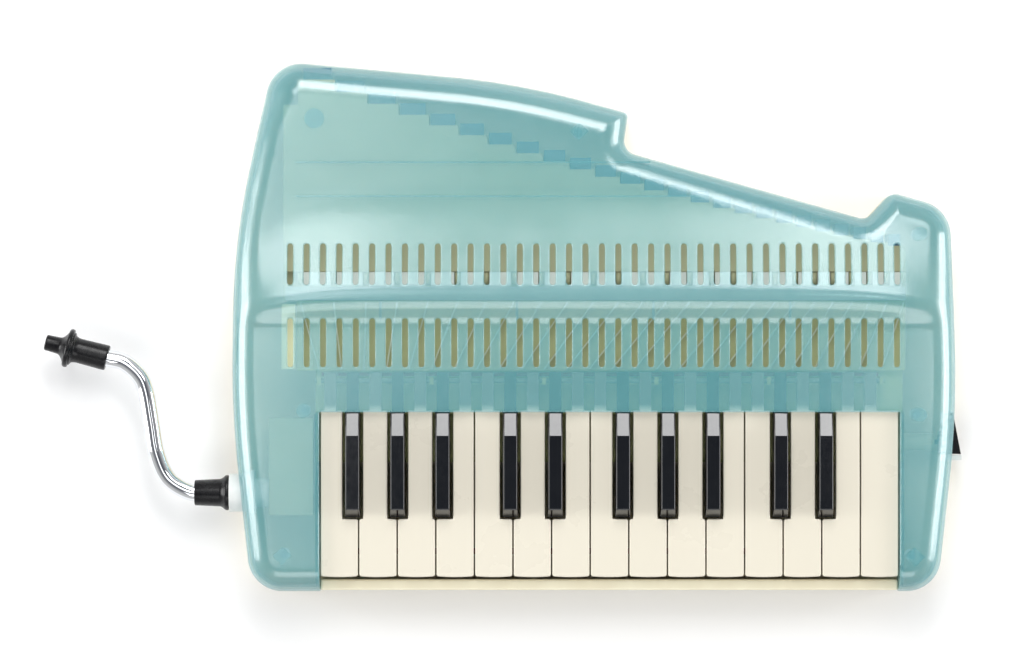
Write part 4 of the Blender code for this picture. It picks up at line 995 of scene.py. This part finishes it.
class Nodes:
    """A geometry node tree with named inputs, and short calls to fill it."""

    def __init__(self, name, inputs):
        self.name, self.look = name, inputs["Material"]
        self.tree = bpy.data.node_groups.new(name, "GeometryNodeTree")
        new_socket = self.tree.interface.new_socket
        new_socket("Geometry", in_out="INPUT", socket_type="NodeSocketGeometry")
        self.values = {}
        for label, value in inputs.items():
            kind = type(value).__name__.capitalize()      # Int, Float or Material
            socket = new_socket(label, in_out="INPUT", socket_type="NodeSocket" + kind)
            self.values[socket.identifier] = value
        new_socket("Geometry", in_out="OUTPUT", socket_type="NodeSocketGeometry")
        self.given = self.tree.nodes.new("NodeGroupInput")
        self.result = self.tree.nodes.new("NodeGroupOutput")

    def __getitem__(self, label):
        return self.given.outputs[label]

    def add(self, kind, settings=(), **inputs):
        return add_node(self.tree, "GeometryNode" + kind, settings, **inputs).outputs[0]

    def math(self, operation, *values):
        inputs = {"_%d" % i: value for i, value in enumerate(values)}
        return add_node(self.tree, "ShaderNodeMath", {"operation": operation}, **inputs).outputs[0]

    def plus(self, *values):
        return self.math("ADD", *values)

    def minus(self, *values):
        return self.math("SUBTRACT", *values)

    def times(self, *values):
        return self.math("MULTIPLY", *values)

    def middle(self, start, size):
        return self.plus(start, self.times(size, 0.5))

    def vector(self, x, y, z):
        return add_node(self.tree, "ShaderNodeCombineXYZ", X=x, Y=y, Z=z).outputs[0]

    def boxes(self, place, size, turn=0.0):
        """One box for each index up to Count, with its middle, size and turn in plan."""
        line = self.add("MeshLine", Count=self["Count"])
        points = self.add("SetPosition", Geometry=line, Position=self.vector(*place))
        cube = self.add("MeshCube", Size=(1.0, 1.0, 1.0))
        return self.add("InstanceOnPoints", Points=points, Instance=cube,
                        Rotation=self.vector(0.0, 0.0, turn), Scale=self.vector(*size))

    def piece(self, copies, slot, points=()):
        """The copies made on these points, as a plain mesh piece of the casing."""
        real = self.add("RealizeInstances", Geometry=copies)
        done = self.add("SetMaterial", Geometry=real, Material=self["Material"])
        fill(self.tree, self.result, _0=done)
        mesh = bpy.data.meshes.new(self.name)
        mesh.from_pydata(points, [], [])
        guide = put(self.name + "_guide", mesh)
        change = guide.modifiers.new("rule", "NODES")
        change.node_group = self.tree
        for identifier, value in self.values.items():
            change[identifier] = value
        mesh = evaluated_mesh(guide)
        bpy.data.objects.remove(guide, do_unlink=True)
        add_piece(self.name, mesh, self.look)


def pipe_layout():
    """Named inputs for where each pipe's left edge lies."""
    total = PIPE_RIGHT - PIPE_LEFT
    widest = total * (1 - PIPE_NARROWING) / (1 - PIPE_NARROWING ** PIPE_COUNT)
    return {"First edge": PIPE_LEFT, "Widest": widest, "Narrowing": PIPE_NARROWING}


def pipe_edge(tree, index):
    """Left edge of the pipe with this index, and the pipe's width."""
    shrunk = tree.math("POWER", tree["Narrowing"], index)
    run = tree.math("DIVIDE", tree.minus(1.0, shrunk), tree.minus(1.0, tree["Narrowing"]))
    edge = tree.plus(tree["First edge"], tree.times(tree["Widest"], run))
    return edge, tree.times(tree["Widest"], shrunk)


def build_stoppers():
    """The tuning stopper in the end of each pipe: widths and lengths follow the scale."""
    tree = Nodes("pipe_stoppers", {
        "Count": PIPE_COUNT, **pipe_layout(), "Mouths": PIPE_START + 0.0013,
        "Longest": LONGEST_PIPE, "Depth": 0.0060, "Height": 0.0240, "Floor": 0.0045,
        "Gap": 0.0026, "Material": STOPPER})
    index = tree.add("InputIndex")
    left, width = pipe_edge(tree, index)
    octave = tree.math("POWER", 2.0, tree.math("DIVIDE", index, -12.0))
    end = tree.plus(tree["Mouths"], tree.times(tree["Longest"], octave))
    place = (tree.middle(left, width), tree.middle(end, tree["Depth"]),
             tree.middle(tree["Floor"], tree["Height"]))
    size = (tree.minus(width, tree["Gap"]), tree["Depth"], tree["Height"])
    tree.piece(tree.boxes(place, size), "soft_rubber")


def build_mouth_walls():
    """The walls between the pipe mouths, a little below the lips."""
    tree = Nodes("mouth_walls", {
        "Count": PIPE_COUNT + 1, **pipe_layout(), "Thickness": 0.0025, "Height": 0.0034,
        "Front": MOUTH_REAR - 0.0064, "Length": 0.0060, "Top": TRAY_TOP - 0.0003,
        "Material": INNER_PAINTED_SHADE})
    edge, _ = pipe_edge(tree, tree.add("InputIndex"))
    place = (edge, tree.middle(tree["Front"], tree["Length"]),
             tree.minus(tree["Top"], tree.times(tree["Height"], 0.5)))
    size = (tree["Thickness"], tree["Length"], tree["Height"])
    tree.piece(tree.boxes(place, size), "cream_plastic")


def build_windway_edges():
    """The pale top edges of the walls that fan out from the key tails to the pipes."""
    tree = Nodes("windway_edges", {
        "Count": PIPE_COUNT + 1, **pipe_layout(), "First tail": tail_x(-0.5),
        "Tail pitch": TAIL_PITCH, "Front": FAN_FRONT, "Rear": FAN_REAR, "Thickness": 0.0006,
        "Height": 0.0003, "Film top": FILM_TOP, "Material": WALL_EDGE})
    index = tree.add("InputIndex")
    start = tree.plus(tree["First tail"], tree.times(tree["Tail pitch"], index))
    end, _ = pipe_edge(tree, index)
    across, along = tree.minus(end, start), tree.minus(tree["Rear"], tree["Front"])
    length = tree.math("SQRT", tree.plus(tree.times(across, across), tree.times(along, along)))
    turn = tree.times(tree.math("ARCTAN2", across, along), -1.0)
    place = (tree.times(tree.plus(start, end), 0.5),
             tree.times(tree.plus(tree["Front"], tree["Rear"]), 0.5),
             tree.middle(tree["Film top"], tree["Height"]))
    size = (tree["Thickness"], length, tree["Height"])
    tree.piece(tree.boxes(place, size, turn), "windway_film")


def build_end_ledge():
    """The cream ledge beside the windways, seen through the slots at the left end."""
    ledge = box_form(KEYS_LEFT - 0.0195, PIPE_LEFT - 0.0024, FAN_FRONT, FAN_REAR - 0.0010,
                     FILM_TOP - 0.0040, FILM_TOP - 0.0002, 0.0006)
    add_piece("end_ledge", ledge, LEDGE)


def build_casing_screws():
    """A cross-recessed screw at the end of each well in the tray."""
    tree = Nodes("casing_screws", {"Head radius": 0.0022, "Head height": 0.0014,
                                   "Recess": 0.0006, "Well top": WELL_TOP, "Material": STEEL})
    radius, height, recess = tree["Head radius"], tree["Head height"], tree["Recess"]
    head = tree.add("MeshCylinder", Vertices=32, Radius=radius, Depth=height)
    slot = tree.times(radius, 1.3)
    cross = tree.add("JoinGeometry")
    for x, y in ((slot, recess), (recess, slot)):
        bar = tree.add("MeshCube", Size=tree.vector(x, y, height))
        fill(tree.tree, cross.node, _0=bar)
    lowered = tree.add("Transform", Geometry=cross,
                       Translation=tree.vector(0.0, 0.0, tree.times(height, -0.5)))
    screw = tree.add("MeshBoolean", {"operation": "DIFFERENCE"}, _0=head, _1=lowered)
    sunk = tree.minus(tree["Well top"], tree.times(height, 0.5))
    seats = tree.add("SetPosition", Geometry=tree["Geometry"],
                     Offset=tree.vector(0.0, 0.0, sunk))
    copies = tree.add("InstanceOnPoints", Points=seats, Instance=screw)
    tree.piece(copies, "spring_steel", [(x, y, 0.0) for x, y in BOSSES])


# ---- studio

# each as side, place, width, height, radiance, and the way it faces if not the keyboard
SOFTBOXES = (
    ("rear", (0.01, 0.955, 1.024), 0.64, 0.66, 6.0),
    ("front", (0.0, -0.78, 0.98), 1.00, 0.50, 1.9),
    ("rear_left", (-0.40, 0.54, 1.25), 0.46, 0.34, 3.5),
    ("rear_right", (0.36, 0.54, 1.25), 0.46, 0.34, 3.5),
    ("left", (-1.15, 0.0, 0.33), 0.56, 0.60, 6.0),
    ("right", (1.15, 0.0, 0.33), 0.56, 0.60, 6.0),
    ("overhead_left", (-0.34, 0.20, 1.60), 0.42, 0.45, 1.55, (0, 0, -1)),
    ("overhead_corner", (-0.385, -0.1725, 1.60), 0.36, 0.295, 1.55, (0, 0, -1)),
    ("overhead_right", (0.36, -0.03, 1.60), 0.18, 0.18, 2.3, (0, 0, -1)))

# the camera looks straight down at a picture this wide at the keys' height
PICTURE_WIDTH, PICTURE_HEIGHT = 0.5147, 0.036
LENS, SENSOR = 180, 36


def add_softbox(side, place, width, height, radiance, facing=None):
    """A softbox that faces the keyboard, or the way given; width runs along X if it can."""
    data = bpy.data.lights.new(side + "_softbox", "AREA")
    data.shape = "RECTANGLE"
    data.size, data.size_y = width, height
    data.energy = radiance * math.pi * width * height
    lamp = put(data.name, data)
    lamp.location = place
    way = Vector(facing) if facing else -lamp.location
    lamp.rotation_euler = way.to_track_quat("-Z", "Y").to_euler()


def build_studio():
    form = bmesh.new()
    bmesh.ops.create_grid(form, x_segments=2, y_segments=2, size=6.0)
    bmesh.ops.translate(form, vec=(0, 0, -0.0002), verts=form.verts)
    floor = put("floor", mesh_of(form, "floor"))
    pale = bpy.data.materials.new("pale_floor")
    pale.use_nodes = True
    fill(pale.node_tree, pale.node_tree.nodes["Principled BSDF"],
         Base_Color=(0.95, 0.95, 0.95, 1), Roughness=0.9, Specular_IOR_Level=0.1,
         Emission_Color=(1, 1, 1, 1), Emission_Strength=0.05)
    floor.data.materials.append(pale)

    world = bpy.data.worlds.new("studio")
    bpy.context.scene.world = world
    world.use_nodes = True
    tree = world.node_tree
    place = tree.nodes.new("ShaderNodeTexCoord")
    split = add_node(tree, "ShaderNodeSeparateXYZ", Vector=place.outputs["Generated"])
    ramp = add_node(tree, "ShaderNodeValToRGB", Fac=split.outputs["Z"])
    low, high = ramp.color_ramp.elements
    low.position, low.color = 0.45, (1, 1, 1, 1)
    high.position, high.color = 0.95, (0.16, 0.17, 0.20, 1)
    fill(tree, tree.nodes["Background"], Strength=0.60, Color=ramp.outputs["Color"])

    for softbox in SOFTBOXES:
        add_softbox(*softbox)
    bpy.context.scene.view_settings.view_transform = "Standard"

    data = bpy.data.cameras.new("camera")
    data.lens, data.sensor_width = LENS, SENSOR
    camera = put("camera", data)
    camera.location = (-0.0415, -0.0040, PICTURE_HEIGHT + PICTURE_WIDTH * LENS / SENSOR)
    bpy.context.scene.camera = camera


dress_frame()
build_upper_casing()
build_lower_casing()
build_keys()
build_mouthpiece()
build_stoppers()
build_mouth_walls()
build_windway_edges()
build_end_ledge()
build_casing_screws()
build_studio()
